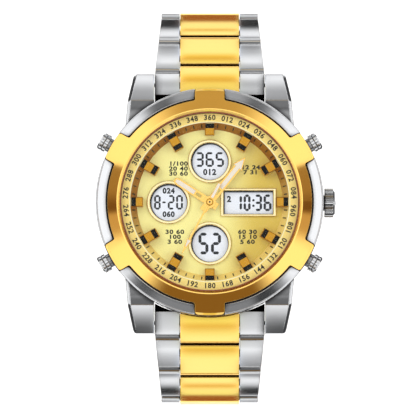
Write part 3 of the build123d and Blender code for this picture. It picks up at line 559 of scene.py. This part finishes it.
def crowned_finish(name, link):
    """The crowned metal for one node, measured along the line from its own pin to the next."""
    kind, side, number = name.rsplit("_", 2)
    metal = link_steel if kind == "outer_links" else link_gold
    pin = PINS[f"row_{side}_{number}"]
    following = PINS.get(f"row_{side}_{int(number) + 1}")
    if following is None:
        previous = PINS[f"row_{side}_{int(number) - 1}"]
        following = pin + (pin - previous)
    direction = (following - pin).normalized()
    direction.x = 0
    outward = direction.cross(Vector((1, 0, 0)))
    if outward.dot(pin - WRIST_MIDDLE) < 0:
        outward.negate()
    top = max(v.co.dot(outward) for v in link.data.vertices)
    skin = [v.co for v in link.data.vertices if v.co.dot(outward) > top - SKIN]
    along = [(point - pin).dot(direction) for point in skin]
    middle = pin + direction * (min(along) + max(along)) / 2
    half_length = (max(along) - min(along)) / 2
    return crown_link(metal, f"{metal.name}_{side}_{number}", middle, direction, half_length)


END_LINK_SLOPE = math.radians(40)
END_LINK_MIDDLE = Vector((0, 25.2, 4.2)) * MM
END_LINK_HALF = 4.2 * MM
down_wrist = Vector((0, math.cos(END_LINK_SLOPE), -math.sin(END_LINK_SLOPE)))
for name, metal in (("end_links", link_steel), ("end_link_centres", link_gold)):
    crown = (END_LINK_MIDDLE, down_wrist, END_LINK_HALF, 0.16)
    finishes[name] = crown_link(metal, metal.name + "_end", *crown, both_sides=True)

for name, cad_object in nodes.items():
    finish = finishes.get(name)
    if name.startswith("pusher_") and name != "pusher_springs":
        finish = mirror_steel
    if name.startswith(("outer_links", "centre_link")):
        finish = crowned_finish(name, cad_object)
    cad_object.data.materials.clear()
    cad_object.data.materials.append(finish)
print("finished", len(nodes), "CAD nodes")

# %% [markdown]
# ## Helpers for new pieces
# A new piece starts from a bmesh shape that operators cut, bevel and place. When it is done, it
# becomes an object at the origin, rides on its CAD body and carries the material of its finish.

# %% Piece helpers
TINY = 1e-7


def make_object(name, shape, material):
    """Turns a bmesh into an object of one material, at the origin."""
    mesh = bpy.data.meshes.new(name)
    shape.to_mesh(mesh)
    shape.free()
    mesh.materials.append(material)
    made = bpy.data.objects.new(name, mesh)
    scene.collection.objects.link(made)
    return made


def finish_piece(name, shape, body, material):
    """Turns a bmesh into an object that rides on a body."""
    piece = make_object(name, shape, material)
    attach(piece, body)
    print(name, len(piece.data.polygons), "faces")
    return piece


def turn_z(degrees):
    """A turn about the dial's axis."""
    return Matrix.Rotation(math.radians(degrees), 4, "Z")


def at(x, y, z):
    """A shift in millimetres."""
    return Matrix.Translation(Vector((x, y, z)) * MM)


def add_block(shape, place, size, bevel_mm=0.0):
    """A block of a size in millimetres, centred on a place, with bevelled upper edges."""
    scale = Matrix.Diagonal((*[s * MM for s in size], 1))
    made = bmesh.ops.create_cube(shape, size=1.0, matrix=place @ scale)
    if bevel_mm:
        upright = place.inverted()
        edges = {e for v in made["verts"] for e in v.link_edges}
        top = max((upright @ v.co).z for v in made["verts"])
        upper = [e for e in edges if all((upright @ v.co).z > top - TINY for v in e.verts)]
        bmesh.ops.bevel(
            shape,
            geom=upper,
            offset=bevel_mm * MM,
            affect="EDGES",
            segments=1,
            profile=0.5,
            material=-1,
        )


def add_plate(shape, outline, place, thickness):
    """A flat outline in millimetres, made a face, raised to a thickness and put in its place."""
    corners = [shape.verts.new(place @ (Vector((x, y, 0)) * MM)) for x, y in outline]
    face = shape.faces.new(corners)
    raised = bmesh.ops.extrude_face_region(shape, geom=[face])
    lifted = [g for g in raised["geom"] if isinstance(g, bmesh.types.BMVert)]
    up = place.to_3x3() @ Vector((0, 0, thickness * MM))
    bmesh.ops.translate(shape, verts=lifted, vec=up)
    bmesh.ops.recalc_face_normals(shape, faces=shape.faces[:])


def add_disc(shape, place, radius, height, segments):
    """A low cylinder that stands on its place."""
    bmesh.ops.create_cone(
        shape,
        cap_ends=True,
        segments=segments,
        radius1=radius * MM,
        radius2=radius * MM,
        depth=height * MM,
        matrix=place @ at(0, 0, height / 2),
    )


print("piece helpers ready")

# %% [markdown]
# ## Pusher springs
# A coil spring inside each tube pushes its pusher out again. The CAD holds all four as one rigid
# shape, so each becomes a piece of its own, riding on the case.
# What lies on the other side of the X or Y axis belongs to the other pushers and is deleted.

# %% One spring for each pusher
for joint in frame["joints"]:
    if joint["name"].endswith("_press"):
        inward = Vector(joint["axis"])
        coil = bmesh.new()
        coil.from_mesh(nodes["pusher_springs"].data)
        bmesh.ops.remove_doubles(coil, verts=coil.verts[:], dist=TINY)
        elsewhere = [v for v in coil.verts if v.co.x * inward.x > 0 or v.co.y * inward.y > 0]
        bmesh.ops.delete(coil, geom=elsewhere, context="VERTS")
        number = joint["name"].split("_")[1]
        spring = finish_piece(f"pusher_spring_{number}", coil, "case", pin_steel)
        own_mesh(spring)
        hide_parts("pusher_springs")

# %% [markdown]
# ## Printed numbers
# Dial print is a film of ink a few hundredths of a millimetre thick. Blender's text gives the
# figures. Each number becomes a mesh before it is placed, so that the whole print is one object.

# %% Number helper
DIGIT_SHARE = 0.69
INK_DEPTH = 0.012
DIGIT_SPACING = 1.12


def add_number(shape, text, height, place, weight, stretch=1.0):
    """A number of a given height, centred on its place, as thin ink. Weight thickens its lines."""
    curve = bpy.data.curves.new("number", "FONT")
    curve.body = text
    curve.size = height / DIGIT_SHARE
    curve.align_x = "CENTER"
    curve.align_y = "CENTER"
    curve.extrude = INK_DEPTH
    curve.offset = weight
    curve.space_character = DIGIT_SPACING
    curve.resolution_u = 3
    holder = bpy.data.objects.new("number", curve)
    mesh = bpy.data.meshes.new_from_object(holder)
    mesh.transform(place @ Matrix.Diagonal((MM * stretch, MM, MM, 1)))
    shape.from_mesh(mesh)
    bpy.data.objects.remove(holder)
    bpy.data.curves.remove(curve)
    bpy.data.meshes.remove(mesh)


# %% [markdown]
# The flange carries a plain compass scale: thirty numbers, one every 12 degrees. Those in the lower
# half stand with their tops inwards, so that all of them read upright.

# %% Flange scale
FLANGE_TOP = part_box("flange_ring")[1].z / MM
DIAL_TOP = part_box("dial_plate")[1].z / MM
LABEL_RADIUS, LABEL_HEIGHT, LABEL_WEIGHT = 18.28, 1.08, 0.045

scale_print = bmesh.new()
for step in range(30):
    degrees = step * 12 or 360
    spot = turn_z(-12 * step) @ at(0, LABEL_RADIUS, FLANGE_TOP)
    if 90 < degrees < 270:
        spot = spot @ turn_z(180)
    add_number(scale_print, f"{degrees:03d}", LABEL_HEIGHT, spot, LABEL_WEIGHT)
finish_piece("flange_numbers", scale_print, "case", print_ink)

# %% [markdown]
# The track below has four fine strokes between each pair of hour markers. They lean with its wall.

# %% Minute strokes
TRACK_FOOT, TRACK_BROW, STROKE_RADIUS = 15.85, 17.25, 16.6
STROKE_SIZE = (0.24, 1.5, 0.04)
track_slope = math.atan2(FLANGE_TOP - DIAL_TOP, TRACK_BROW - TRACK_FOOT)
stroke_height = DIAL_TOP + (STROKE_RADIUS - TRACK_FOOT) * math.tan(track_slope)
on_track = at(0, STROKE_RADIUS, stroke_height)
lean = Matrix.Rotation(track_slope, 4, "X")
strokes = bmesh.new()
for minute in range(60):
    if minute % 5:
        add_block(strokes, turn_z(-6 * minute) @ on_track @ lean, STROKE_SIZE)
finish_piece("minute_strokes", strokes, "case", print_ink)

# %% [markdown]
# ## Hour markers
# Each marker is a gilt block with black ribbed inserts let into its top, two on the long ones and
# one on the short ones at 12, 3, 6 and 9.

# %% Marker inserts
MARKER_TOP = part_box("hour_markers")[1].z / MM
OUTER_INSERT, INNER_INSERT = 16.55, 13.82
INSERT_SIZE, INSERT_BEVEL = (1.9, 1.05, 0.08), 0.03
inserts = bmesh.new()
for hour in range(12):
    spots = [OUTER_INSERT] if hour % 3 == 0 else [OUTER_INSERT, INNER_INSERT]
    for radius in spots:
        spot = turn_z(-30 * hour) @ at(0, radius, MARKER_TOP)
        add_block(inserts, spot, INSERT_SIZE, INSERT_BEVEL)
finish_piece("marker_inserts", inserts, "case", insert_black)

# %% [markdown]
# ## Liquid crystal displays
# A panel shows pale where its cells are off, and near black where a segment is on. Seven bars make
# a figure. A bar is a thin block with pointed ends, and a small table says which bars each figure
# lights. The table has only the figures that these displays show.

# %% Seven-segment figures
PANEL_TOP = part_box("display_panels")[1].z / MM
BAR_DEPTH, BAR_GAP = 0.03, 0.16
LIT_BARS = {
    "0": "abcdef",
    "1": "bc",
    "2": "abged",
    "3": "abgcd",
    "5": "afgcd",
    "6": "afgedc",
    "8": "abcdefg",
}


def add_bar(shape, place, length, width):
    """One bar of a figure, lying along X with pointed ends."""
    half, slope = length / 2, width / 2
    outline = [
        (-half, 0),
        (-half + slope, -slope),
        (half - slope, -slope),
        (half, 0),
        (half - slope, slope),
        (-half + slope, slope),
    ]
    add_plate(shape, outline, place, BAR_DEPTH)


def add_figure(shape, figure, x, y, width, height, stroke):
    """One seven-segment figure centred on a place."""
    half_w, half_h = (width - stroke) / 2, (height - stroke) / 2
    gap = stroke * BAR_GAP
    spots = {
        "a": (0, half_h, 0, 2 * half_w),
        "g": (0, 0, 0, 2 * half_w),
        "d": (0, -half_h, 0, 2 * half_w),
        "b": (half_w, half_h / 2, 90, half_h),
        "c": (half_w, -half_h / 2, 90, half_h),
        "f": (-half_w, half_h / 2, 90, half_h),
        "e": (-half_w, -half_h / 2, 90, half_h),
    }
    for bar in LIT_BARS[figure]:
        dx, dy, turn, length = spots[bar]
        add_bar(shape, at(x + dx, y + dy, PANEL_TOP) @ turn_z(turn), length - gap, stroke)


# %% [markdown]
# The date, the time and the seconds are set figure by figure. A dash is one more bar, and the colon
# is two small discs.

# %% Figures on the displays
WINDOW = 8.925
DASH_AT, DASH_LENGTH, DASH_WIDTH = -WINDOW - 1.0, 0.82, 0.36
COLON_AT, COLON_HEIGHTS, COLON_RADIUS = 9.5, (0.5, -0.7), 0.26
figures = bmesh.new()
for text, x, y, pitch, width, height, stroke in (
    # text, its middle, and each figure's distance to the next, width, height and stroke
    ("365", 0.0, WINDOW + 0.45, 2.2, 1.8, 3.2, 0.46),
    ("8", -WINDOW - 2.45, 0.05, 0, 1.42, 3.15, 0.42),
    ("20", -WINDOW + 1.45, 0.05, 1.82, 1.46, 3.15, 0.42),
    ("52", 0.0, -WINDOW, 2.72, 2.15, 4.7, 0.64),
    ("10", 7.2, -0.05, 1.85, 1.5, 3.6, 0.52),
    ("36", 11.55, -0.05, 2.05, 1.72, 3.6, 0.52),
):
    for n, figure in enumerate(text):
        shift = (n - (len(text) - 1) / 2) * pitch
        add_figure(figures, figure, x + shift, y, width, height, stroke)
add_bar(figures, at(DASH_AT, 0.05, PANEL_TOP), DASH_LENGTH, DASH_WIDTH)
for y in COLON_HEIGHTS:
    add_disc(figures, at(COLON_AT, y, PANEL_TOP), COLON_RADIUS, BAR_DEPTH, 16)
finish_piece("display_figures", figures, "case", digit_black)

# %% [markdown]
# A real panel also has fixed small signs beside its figures. Here they are plain numbers, in the
# same black as the segments, and made as print because they are finer than a bar.

# %% Small figures on the panels
SMALL_WEIGHT = 0.08
small_print = bmesh.new()
for text, x, y, height in (
    ("012", 0.0, WINDOW - 2.35, 1.2),
    ("024", -WINDOW, 2.5, 1.1),
    ("060", -WINDOW, -2.6, 1.1),
    ("2", 4.2, 0.7, 1.2),
):
    add_number(small_print, text, height, at(x, y, PANEL_TOP), SMALL_WEIGHT)
finish_piece("display_small_figures", small_print, "case", digit_black)

# %% [markdown]
# The mask is the black edge that shows inside each window, and its crescent is painted shade from
# the window's wall. A ring is two loops of points with a bridge between them, and the inner loop
# sits a little low and right, so the black, with its painted shade, is thickest at upper left.

# %% Window masks and their painted shade
ROUND_WINDOW = 4.045
LONG_WINDOW = (3.03, -2.525, 13.78, 2.525)
LONG_OPENING = (3.27, -2.47, 13.72, 2.2)
MASK_HEIGHT, MASK_CLEARANCE = 0.3, 0.005
MASK_SHADE_SHIFT, MASK_WIDTH = (0.11, -0.13), 0.2
CIRCLE_POINTS = 64


def add_loop(shape, points, z):
    """A closed loop of edges through points in millimetres."""
    verts = [shape.verts.new(Vector((x, y, z)) * MM) for x, y in points]
    return [shape.edges.new((a, b)) for a, b in zip(verts, verts[1:] + verts[:1])]


def add_mask(shape, outer, inner):
    """A black band between two outlines, with its inner wall down to the panel."""
    top = PANEL_TOP + MASK_HEIGHT
    loops = [
        add_loop(shape, outer, top),
        add_loop(shape, inner, top),
        add_loop(shape, inner, PANEL_TOP + MASK_CLEARANCE),
    ]
    for first, second in zip(loops, loops[1:]):
        bmesh.ops.bridge_loops(shape, edges=first + second)


def circle(x, y, radius):
    """Points round a circle."""
    step = 2 * math.pi / CIRCLE_POINTS
    turns = [step * n for n in range(CIRCLE_POINTS)]
    return [(x + radius * math.cos(turn), y + radius * math.sin(turn)) for turn in turns]


def rectangle(low_x, low_y, high_x, high_y):
    """The four corners of an upright rectangle."""
    return [(low_x, low_y), (high_x, low_y), (high_x, high_y), (low_x, high_y)]


masks = bmesh.new()
for x, y in ((0, WINDOW), (-WINDOW, 0), (0, -WINDOW)):
    # The inner loop shifts low and right, so painted shade makes the black thickest at upper left.
    inner = circle(x + MASK_SHADE_SHIFT[0], y + MASK_SHADE_SHIFT[1], ROUND_WINDOW - MASK_WIDTH)
    add_mask(masks, circle(x, y, ROUND_WINDOW), inner)
add_mask(masks, rectangle(*LONG_WINDOW), rectangle(*LONG_OPENING))
bmesh.ops.recalc_face_normals(masks, faces=masks.faces[:])
finish_piece("window_masks", masks, "case", digit_black)

# %% [markdown]
# Small rows of plain numbers are printed on the dial in the four corners between the windows. The
# figures are widened a little, as dial print is.

# %% Dial print
ROW_STEP, ROW_HEIGHT, ROW_WEIGHT, ROW_STRETCH = 1.08, 0.86, 0.05, 1.3
dial_print = bmesh.new()
for x, y, rows in (
    (-6.8, 8.4, ("1/100", "20 40", "30 60")),
    (8.9, 7.6, ("12 24", "7 31")),
    (-7.6, -6.45, ("30 60", "100", "3 60")),
    (8.2, -6.45, ("60 30", "15 10", "5 60")),
):
    for n, text in enumerate(rows):
        line = at(x, y - ROW_STEP * n, DIAL_TOP)
        add_number(dial_print, text, ROW_HEIGHT, line, ROW_WEIGHT, ROW_STRETCH)
finish_piece("dial_numbers", dial_print, "case", print_ink)

# %% [markdown]
# ## Hands
# Each hand is a gilt frame, and cream luminous paint fills its opening to just above the metal. The
# second hand carries a small painted arrow and a pale tail.

# %% Luminous fillings
HOUR_ANGLE, MINUTE_ANGLE, SECOND_ANGLE = 302.8, 38.5, 208.3
PAINT_SINK, PAINT_DEPTH = 0.02, 0.06
HOUR_OPENING = [(-0.46, 3.9), (0.46, 3.9), (0.46, 8.0), (0.26, 8.7), (-0.26, 8.7), (-0.46, 8.0)]
MINUTE_OPENING = [
    (-0.46, 3.9),
    (0.46, 3.9),
    (0.46, 9.75),
    (0.95, 9.75),
    (0, 11.9),
    (-0.95, 9.75),
    (-0.46, 9.75),
]
SECOND_ARROW = [(-0.36, 9.45), (0.36, 9.45), (0.1, 11.0), (-0.1, 11.0)]
SECOND_TAIL = [(-0.28, -4.5), (0.28, -4.5), (0.28, -1.1), (-0.28, -1.1)]


def hand_top(node):
    """The height of a hand's upper face in millimetres."""
    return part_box(node)[1].z / MM


for name, hand, angle, outlines in (
    ("hour_lume", "hour_hand", HOUR_ANGLE, [HOUR_OPENING]),
    ("minute_lume", "minute_hand", MINUTE_ANGLE, [MINUTE_OPENING]),
    ("second_lume", "second_hand", SECOND_ANGLE, [SECOND_ARROW, SECOND_TAIL]),
):
    paint = bmesh.new()
    pointing = turn_z(-angle) @ at(0, 0, hand_top(hand) - PAINT_SINK)
    for outline in outlines:
        add_plate(paint, outline, pointing, PAINT_DEPTH)
    finish_piece(name, paint, hand, lume_paint)

# %% [markdown]
# The hands turn on one hub. A darker gold ring on the second hand is painted shadow round the cap,
# a round cap covers the pipes, and the dark end of the seconds pinion shows in its middle. Three
# low discs make it, each a piece of its own because each has its own finish.

# %% Hub of the hands
for name, radius, rise, height, segments, slot, finish in (
    # A darker gold ring under the cap: painted shadow round the hub.
    ("hub_washer", 0.78, -0.01, 0.03, 32, "gold_plate", marker_gold),
    ("hub_cap", 0.55, 0.01, 0.14, 32, "gold_plate", hand_gold),
    ("hub_pin", 0.2, 0.14, 0.03, 24, "black_plastic", movement_plastic),
):
    hub = bmesh.new()
    add_disc(hub, at(0, 0, hand_top("second_hand") + rise), radius, height, segments)
    finish_piece(name, hub, "second_hand", finish)

# %% [markdown]
# ## Stage, light and camera
# Polished metal only looks like metal when it has something to reflect: a bright tent for its pale
# faces and dark flags for its edges. The world is that tent. Each flag is a soft patch round one
# direction. Most are dark, and two are a little brighter than the tent. Paired flags are written
# for the right side and stand on the left as well.

# %% Flags of the tent
TENT_LEVEL = 1.35
PAIRED_FLAGS = (
    # direction to the middle of the flag, its half size on each axis, softness of its edge,
    # share of light left, colour of that light
    ((0.76, 0.15, 0.63), (0.22, 0.19, 0.22), 0.12, 0.27, "#FFD8A8"),
    ((0.76, -0.08, 0.63), (0.22, 0.16, 0.22), 0.5, 0.45, "#FFE0C0"),
    ((0.28, 0.05, 0.96), (0.14, 0.24, 0.5), 0.15, 1.15, "#FFFFFF"),
    ((0.15, 0.335, 0.94), (0.045, 0.06, 0.3), 0.5, 0.3, "#FFFFFF"),
    ((0.45, -0.80, 0.34), (0.2, 0.2, 0.18), 0.3, 0.04, "#FFFFFF"),
    ((0.45, 0.80, 0.28), (0.2, 0.2, 0.18), 0.3, 0.04, "#FFFFFF"),
    ((0.92, 0, 0.34), (0.3, 0.55, 0.2), 0.3, 0.12, "#FFFFFF"),
)
LONE_FLAGS = (
    ((0, 0.80, 0.60), (0.42, 0.22, 0.20), 0.55, 0.45, "#FFE7BC"),
    ((0, -0.73, 0.68), (0.57, 0.24, 0.26), 0.33, 0.18, "#FFCE89"),
    ((0, 0.35, 0.94), (0.185, 0.08, 0.3), 0.1, 0.4, "#FFFFFF"),
    ((0, -0.22, 0.97), (0.25, 0.10, 0.3), 0.12, 0.25, "#FFFFFF"),
    ((-0.205, -0.20, 0.96), (0.05, 0.05, 0.3), 0.5, 0.38, "#FFFFFF"),
    ((0.165, -0.225, 0.96), (0.035, 0.05, 0.3), 0.3, 0.12, "#FFFFFF"),
    ((0, -0.44, 0.90), (0.25, 0.13, 0.3), 0.3, 0.15, "#FFFFFF"),
    ((0, 0.50, 0.86), (0.25, 0.10, 0.3), 0.3, 0.2, "#FFFFFF"),
    ((0, 0.88, 0.47), (0.60, 0.3, 0.10), 0.3, 0.12, "#FFFFFF"),
    ((0, -0.87, 0.47), (0.60, 0.3, 0.08), 0.3, 0.15, "#FFFFFF"),
)
mirrored = [((-x, y, z), *rest) for (x, y, z), *rest in PAIRED_FLAGS]
flags = [*PAIRED_FLAGS, *mirrored, *LONE_FLAGS]
print(len(flags), "flags")

# %% [markdown]
# The flags multiply one another in a chain. Only glossy rays see the tent, and all others see plain
# white, which lights the watch evenly and is the background.

# %% World tent
world = bpy.data.worlds.new("light_tent")
scene.world = world
world.use_nodes = True
tree = world.node_tree
tree.nodes.clear()
gaze = add_node(tree, "ShaderNodeTexCoord").outputs["Generated"]
light = None
for centre, size, softness, left, colour in flags:
    shrink = [1 / s for s in size]
    to_middle = [-c / s for c, s in zip(centre, size)]
    near = add_node(
        tree,
        "ShaderNodeMapping",
        sockets={"Scale": shrink, "Location": to_middle},
        links={"Vector": gaze},
    )
    distance = add_node(
        tree,
        "ShaderNodeVectorMath",
        settings={"operation": "LENGTH"},
        links={"Vector": near.outputs["Vector"]},
    )
    mask = add_node(
        tree,
        "ShaderNodeMapRange",
        settings={"interpolation_type": "SMOOTHSTEP"},
        sockets={"From Min": 1 + softness, "From Max": 1 - softness},
        links={"Value": distance.outputs["Value"]},
    )
    left_light = [left * c for c in linear(colour)[:3]] + [1]
    flag = add_node(
        tree,
        "ShaderNodeMix",
        settings={"data_type": "RGBA", "blend_type": "MULTIPLY"},
        sockets={6: (TENT_LEVEL, TENT_LEVEL, TENT_LEVEL, 1), 7: left_light},
        links={0: mask.outputs["Result"]},
    )
    if light:
        tree.links.new(light, flag.inputs[6])
    light = flag.outputs[2]
tent = add_node(tree, "ShaderNodeBackground", sockets={"Strength": 1.0}, links={"Color": light})
plain = add_node(tree, "ShaderNodeBackground", sockets={"Color": (1, 1, 1, 1), "Strength": 1.0})
path = add_node(tree, "ShaderNodeLightPath")
choice = add_node(
    tree,
    "ShaderNodeMixShader",
    links={
        0: path.outputs["Is Glossy Ray"],
        1: plain.outputs["Background"],
        2: tent.outputs["Background"],
    },
)
add_node(tree, "ShaderNodeOutputWorld", links={"Surface": choice.outputs["Shader"]})
print("world:", world.name, len(tree.nodes), "nodes")

# %% [markdown]
# The floor is a wide sheet of white paper that keeps the soft shadow. The paper glows a little
# where the camera or a metal face sees it, so that it reads as pale as a studio sweep without more
# light on the watch. It lies well below the closed watch, because a bracelet opened at one joint
# swings lower than the closed one.

# %% Floor
HANG = 28.5
FLOOR_HALF = 1.5
PAPER_GLOW = 0.35
floor_level = Matrix.Translation((0, 0, cad_box[0].z - HANG * MM))
floor_shape = bmesh.new()
bmesh.ops.create_grid(
    floor_shape, x_segments=1, y_segments=1, size=FLOOR_HALF, matrix=floor_level
)
paper, tree, shader = new_material(
    "white_paper_sweep", Base_Color=linear("#F5F5F5"), Roughness=0.9
)
path = add_node(tree, "ShaderNodeLightPath")
shader.inputs["Emission Color"].default_value = (1, 1, 1, 1)
seen = add_node(
    tree,
    "ShaderNodeMath",
    settings={"operation": "MAXIMUM"},
    links={0: path.outputs["Is Camera Ray"], 1: path.outputs["Is Glossy Ray"]},
)
vary(tree, shader, "Emission Strength", seen.outputs["Value"], 0.0, PAPER_GLOW)
floor = make_object("floor", floor_shape, paper)
print("floor at", round(floor_level.translation.z / MM, 1), "mm")

# %% [markdown]
# Two dark cards lie level with the clasp, left and right of the watch. Only metal sees them, and
# they give the polished sides of the case and the lugs a dark edge.

# %% Cards beside the watch
CARD_LIFT, CARD_AWAY, CARD_SIZE = 0.3, 150, (200, 320)


def show_to_metal_only(thing):
    """Hides a thing from all rays but the glossy ones."""
    for ray in ("camera", "diffuse", "transmission", "shadow", "volume_scatter"):
        setattr(thing, "visible_" + ray, False)


dark_card, tree, shader = new_material("dark_card", Base_Color=linear("#3A3A3C"), Roughness=0.9)
vary(tree, shader, "Roughness", grain_noise(tree, 8.0), 0.85, 0.95)
for name, side in (("card_left", -1), ("card_right", 1)):
    card_shape = bmesh.new()
    place = Matrix.Translation((side * CARD_AWAY * MM, 0, cad_box[0].z + CARD_LIFT * MM))
    size = Matrix.Diagonal((CARD_SIZE[0] * MM, CARD_SIZE[1] * MM, 1, 1))
    bmesh.ops.create_grid(card_shape, x_segments=1, y_segments=1, size=0.5, matrix=place @ size)
    card = make_object(name, card_shape, dark_card)
    show_to_metal_only(card)
    print(name, "made")

# %% [markdown]
# Graded boards stand upright beyond each end of the bracelet. A link's face slopes away from the
# camera, so it mirrors what stands there. A strip as wide as the gold links, one as wide as the
# steel links and one beyond them for the lugs let each be lit by its own run from pale to dark.

# %% Graded boards beyond the bracelet
BOARD_AWAY = 100.0
BOARD_FOOT, BOARD_TOP = -46.0, 44.0
BOARD_LEVEL = 2.2
BOARDS = (
    # name, side, inner and outer edge, and rows of height with the light there, which is one level
    # for grey or red, green and blue
    ("gold_far", 1, 0, 6.3, (
        (-44, 0.33, 0.13, 0.06), (-35, 0.33, 0.13, 0.06), (-31, 1.15, 1.3, 1.45),
        (-24, 1.15, 1.3, 1.45), (-22, 0.74, 0.56, 0.23), (-18, 1.2, 1.36, 1.6),
        (-3, 1.2, 1.36, 1.6), (1.8, 0.9, 0.84, 0.32), (5, 0.74, 0.56, 0.23),
        (8, 0.95, 1.04, 0.7), (30, 1.0, 1.2, 1.3),
    )),
    ("gold_near", -1, 0, 6.3, (
        (-40, 0.5, 0.3, 0.1), (-37, 0.31, 0.11, 0.05), (-30, 0.31, 0.11, 0.05),
        (-28, 1.0, 1.22, 1.12), (-22, 1.1, 1.25, 1.3), (-18, 0.78, 0.6, 0.26),
        (-13, 1.2, 1.37, 1.6), (3, 1.2, 1.37, 1.6), (7, 1.0, 1.2, 1.1),
        (14, 0.81, 0.67, 0.27), (19, 1.0, 1.18, 0.8), (30, 0.85, 0.75, 0.32),
    )),
    ("steel_far", 1, 6.5, 11.9, (
        (-45, 0.01), (-33, 0.01), (-31, 0.3), (-28, 0.95), (-25, 1.35), (-20, 1.45), (-17, 0.3),
        (-13, 0.62), (-9, 0.78), (-3, 1.3), (2, 1.5), (6, 0.9), (9, 0.7), (14, 0.9), (22, 0.55),
    )),
    ("steel_near", -1, 6.5, 11.9, (
        (-44, 1.3), (-37, 0.9), (-34, 0.01), (-28, 0.01), (-26, 0.35), (-22, 1.1), (-18, 1.45),
        (-15, 1.3), (-12, 0.4), (-6, 0.66), (0, 0.95), (7, 1.5), (11, 1.15), (17, 1.0),
        (24, 0.85), (32, 0.6),
    )),
    ("lug_far", 1, 12.1, 45, (
        (-36, 0.02), (-26, 1.0), (-10, 1.42), (-3, 1.15), (4, 0.82), (11, 0.63), (18, 0.58),
        (28, 0.45),
    )),
    ("lug_near", -1, 12.1, 45, (
        (-22, 0.03), (-1, 0.16), (4, 0.25), (10, 0.4), (16, 0.62), (22, 0.88), (31, 1.2),
    )),
)


def graded_paper(name, rows):
    """A board whose light changes with its height, in steps blended one into the next."""
    board_paper, tree, shader = new_material(name, Base_Color=linear("#000000"), Roughness=0.9)
    spot = object_coordinates(tree, 1, 1, 1)
    height = add_node(tree, "ShaderNodeSeparateXYZ", links={"Vector": spot})
    share = add_node(
        tree,
        "ShaderNodeMapRange",
        sockets={"From Min": BOARD_FOOT * MM, "From Max": BOARD_TOP * MM},
        links={"Value": height.outputs["Z"]},
    )
    grades = add_node(tree, "ShaderNodeValToRGB", links={"Fac": share.outputs["Result"]})
    stops = grades.color_ramp.elements
    while len(stops) < len(rows):
        stops.new(0.5)
    for stop, (z, *levels) in zip(stops, rows):
        colour = levels * 3 if len(levels) == 1 else levels
        stop.position = (z - BOARD_FOOT) / (BOARD_TOP - BOARD_FOOT)
        stop.color = [level / BOARD_LEVEL for level in colour] + [1]
    tree.links.new(grades.outputs["Color"], shader.inputs["Emission Color"])
    shader.inputs["Emission Strength"].default_value = BOARD_LEVEL
    return board_paper


upright = Matrix.Rotation(math.radians(90), 4, "X")
for name, side, inner, outer, rows in BOARDS:
    board_shape = bmesh.new()
    size = Matrix.Diagonal(((outer - inner) * MM, (BOARD_TOP - BOARD_FOOT) * MM, 1, 1))
    for hand in (-1, 1):
        middle = at(hand * (inner + outer) / 2, side * BOARD_AWAY, (BOARD_FOOT + BOARD_TOP) / 2)
        bmesh.ops.create_grid(
            board_shape, x_segments=1, y_segments=1, size=0.5, matrix=middle @ upright @ size
        )
    board = make_object("board_" + name, board_shape, graded_paper("graded_" + name, rows))
    show_to_metal_only(board)
    print(name, "board with", len(rows), "levels")

# %% [markdown]
# Two soft boxes light the dial: a key at upper left, and a weaker fill at the right. Metal doesn't
# see them, because the tent already gives it what it mirrors.

# %% Soft boxes


def soft_box(name, place_mm, size_mm, radiance):
    """An area lamp that looks at the dial. Its power follows from how bright its face should be."""
    lamp = bpy.data.lights.new(name, "AREA")
    lamp.size = size_mm * MM
    lamp.energy = radiance * math.pi * lamp.size**2
    holder = bpy.data.objects.new(name, lamp)
    holder.location = Vector(place_mm) * MM
    holder.rotation_euler = (-holder.location).to_track_quat("-Z", "Y").to_euler()
    holder.visible_camera = False
    holder.visible_glossy = False
    scene.collection.objects.link(holder)
    print(name, round(lamp.energy, 2), "W")


BOX_SIZE = 260
soft_box("key_box", (-260, 200, 420), BOX_SIZE, 3.2)
soft_box("fill_box", (300, -60, 420), BOX_SIZE, 1.4)

# %% [markdown]
# The photo was taken from far away and nearly straight above the dial, so the lens is long. The
# camera looks at a point a little below and left of the dial's middle, which puts the dial where
# the photo has it.

# %% Camera
PHOTO_WIDTH_MM, PHOTO_PIXELS = 90.3, 416
PIXEL_MM = PHOTO_WIDTH_MM / PHOTO_PIXELS
LEFT_PIXELS, BELOW_PIXELS = 1.7, 6.5
CAMERA_DISTANCE = 2500.0
elevation = math.radians(87.0)
away = Vector((0, -math.cos(elevation), math.sin(elevation)))
up = Vector((0, math.sin(elevation), math.cos(elevation)))
dial_centre = Vector((0, 0, 12.0))
target = dial_centre - Vector((1, 0, 0)) * LEFT_PIXELS * PIXEL_MM - up * BELOW_PIXELS * PIXEL_MM
lens = bpy.data.cameras.new("photo_camera")
lens.sensor_width = 36.0
lens.lens = lens.sensor_width * CAMERA_DISTANCE / PHOTO_WIDTH_MM
lens.clip_end = 10.0
camera = bpy.data.objects.new("photo_camera", lens)
camera.location = (target + away * CAMERA_DISTANCE) * MM
camera.rotation_euler = away.to_track_quat("Z", "Y").to_euler()
scene.collection.objects.link(camera)
scene.camera = camera
scene.view_settings.view_transform = "Standard"
print("lens", round(lens.lens), "mm")
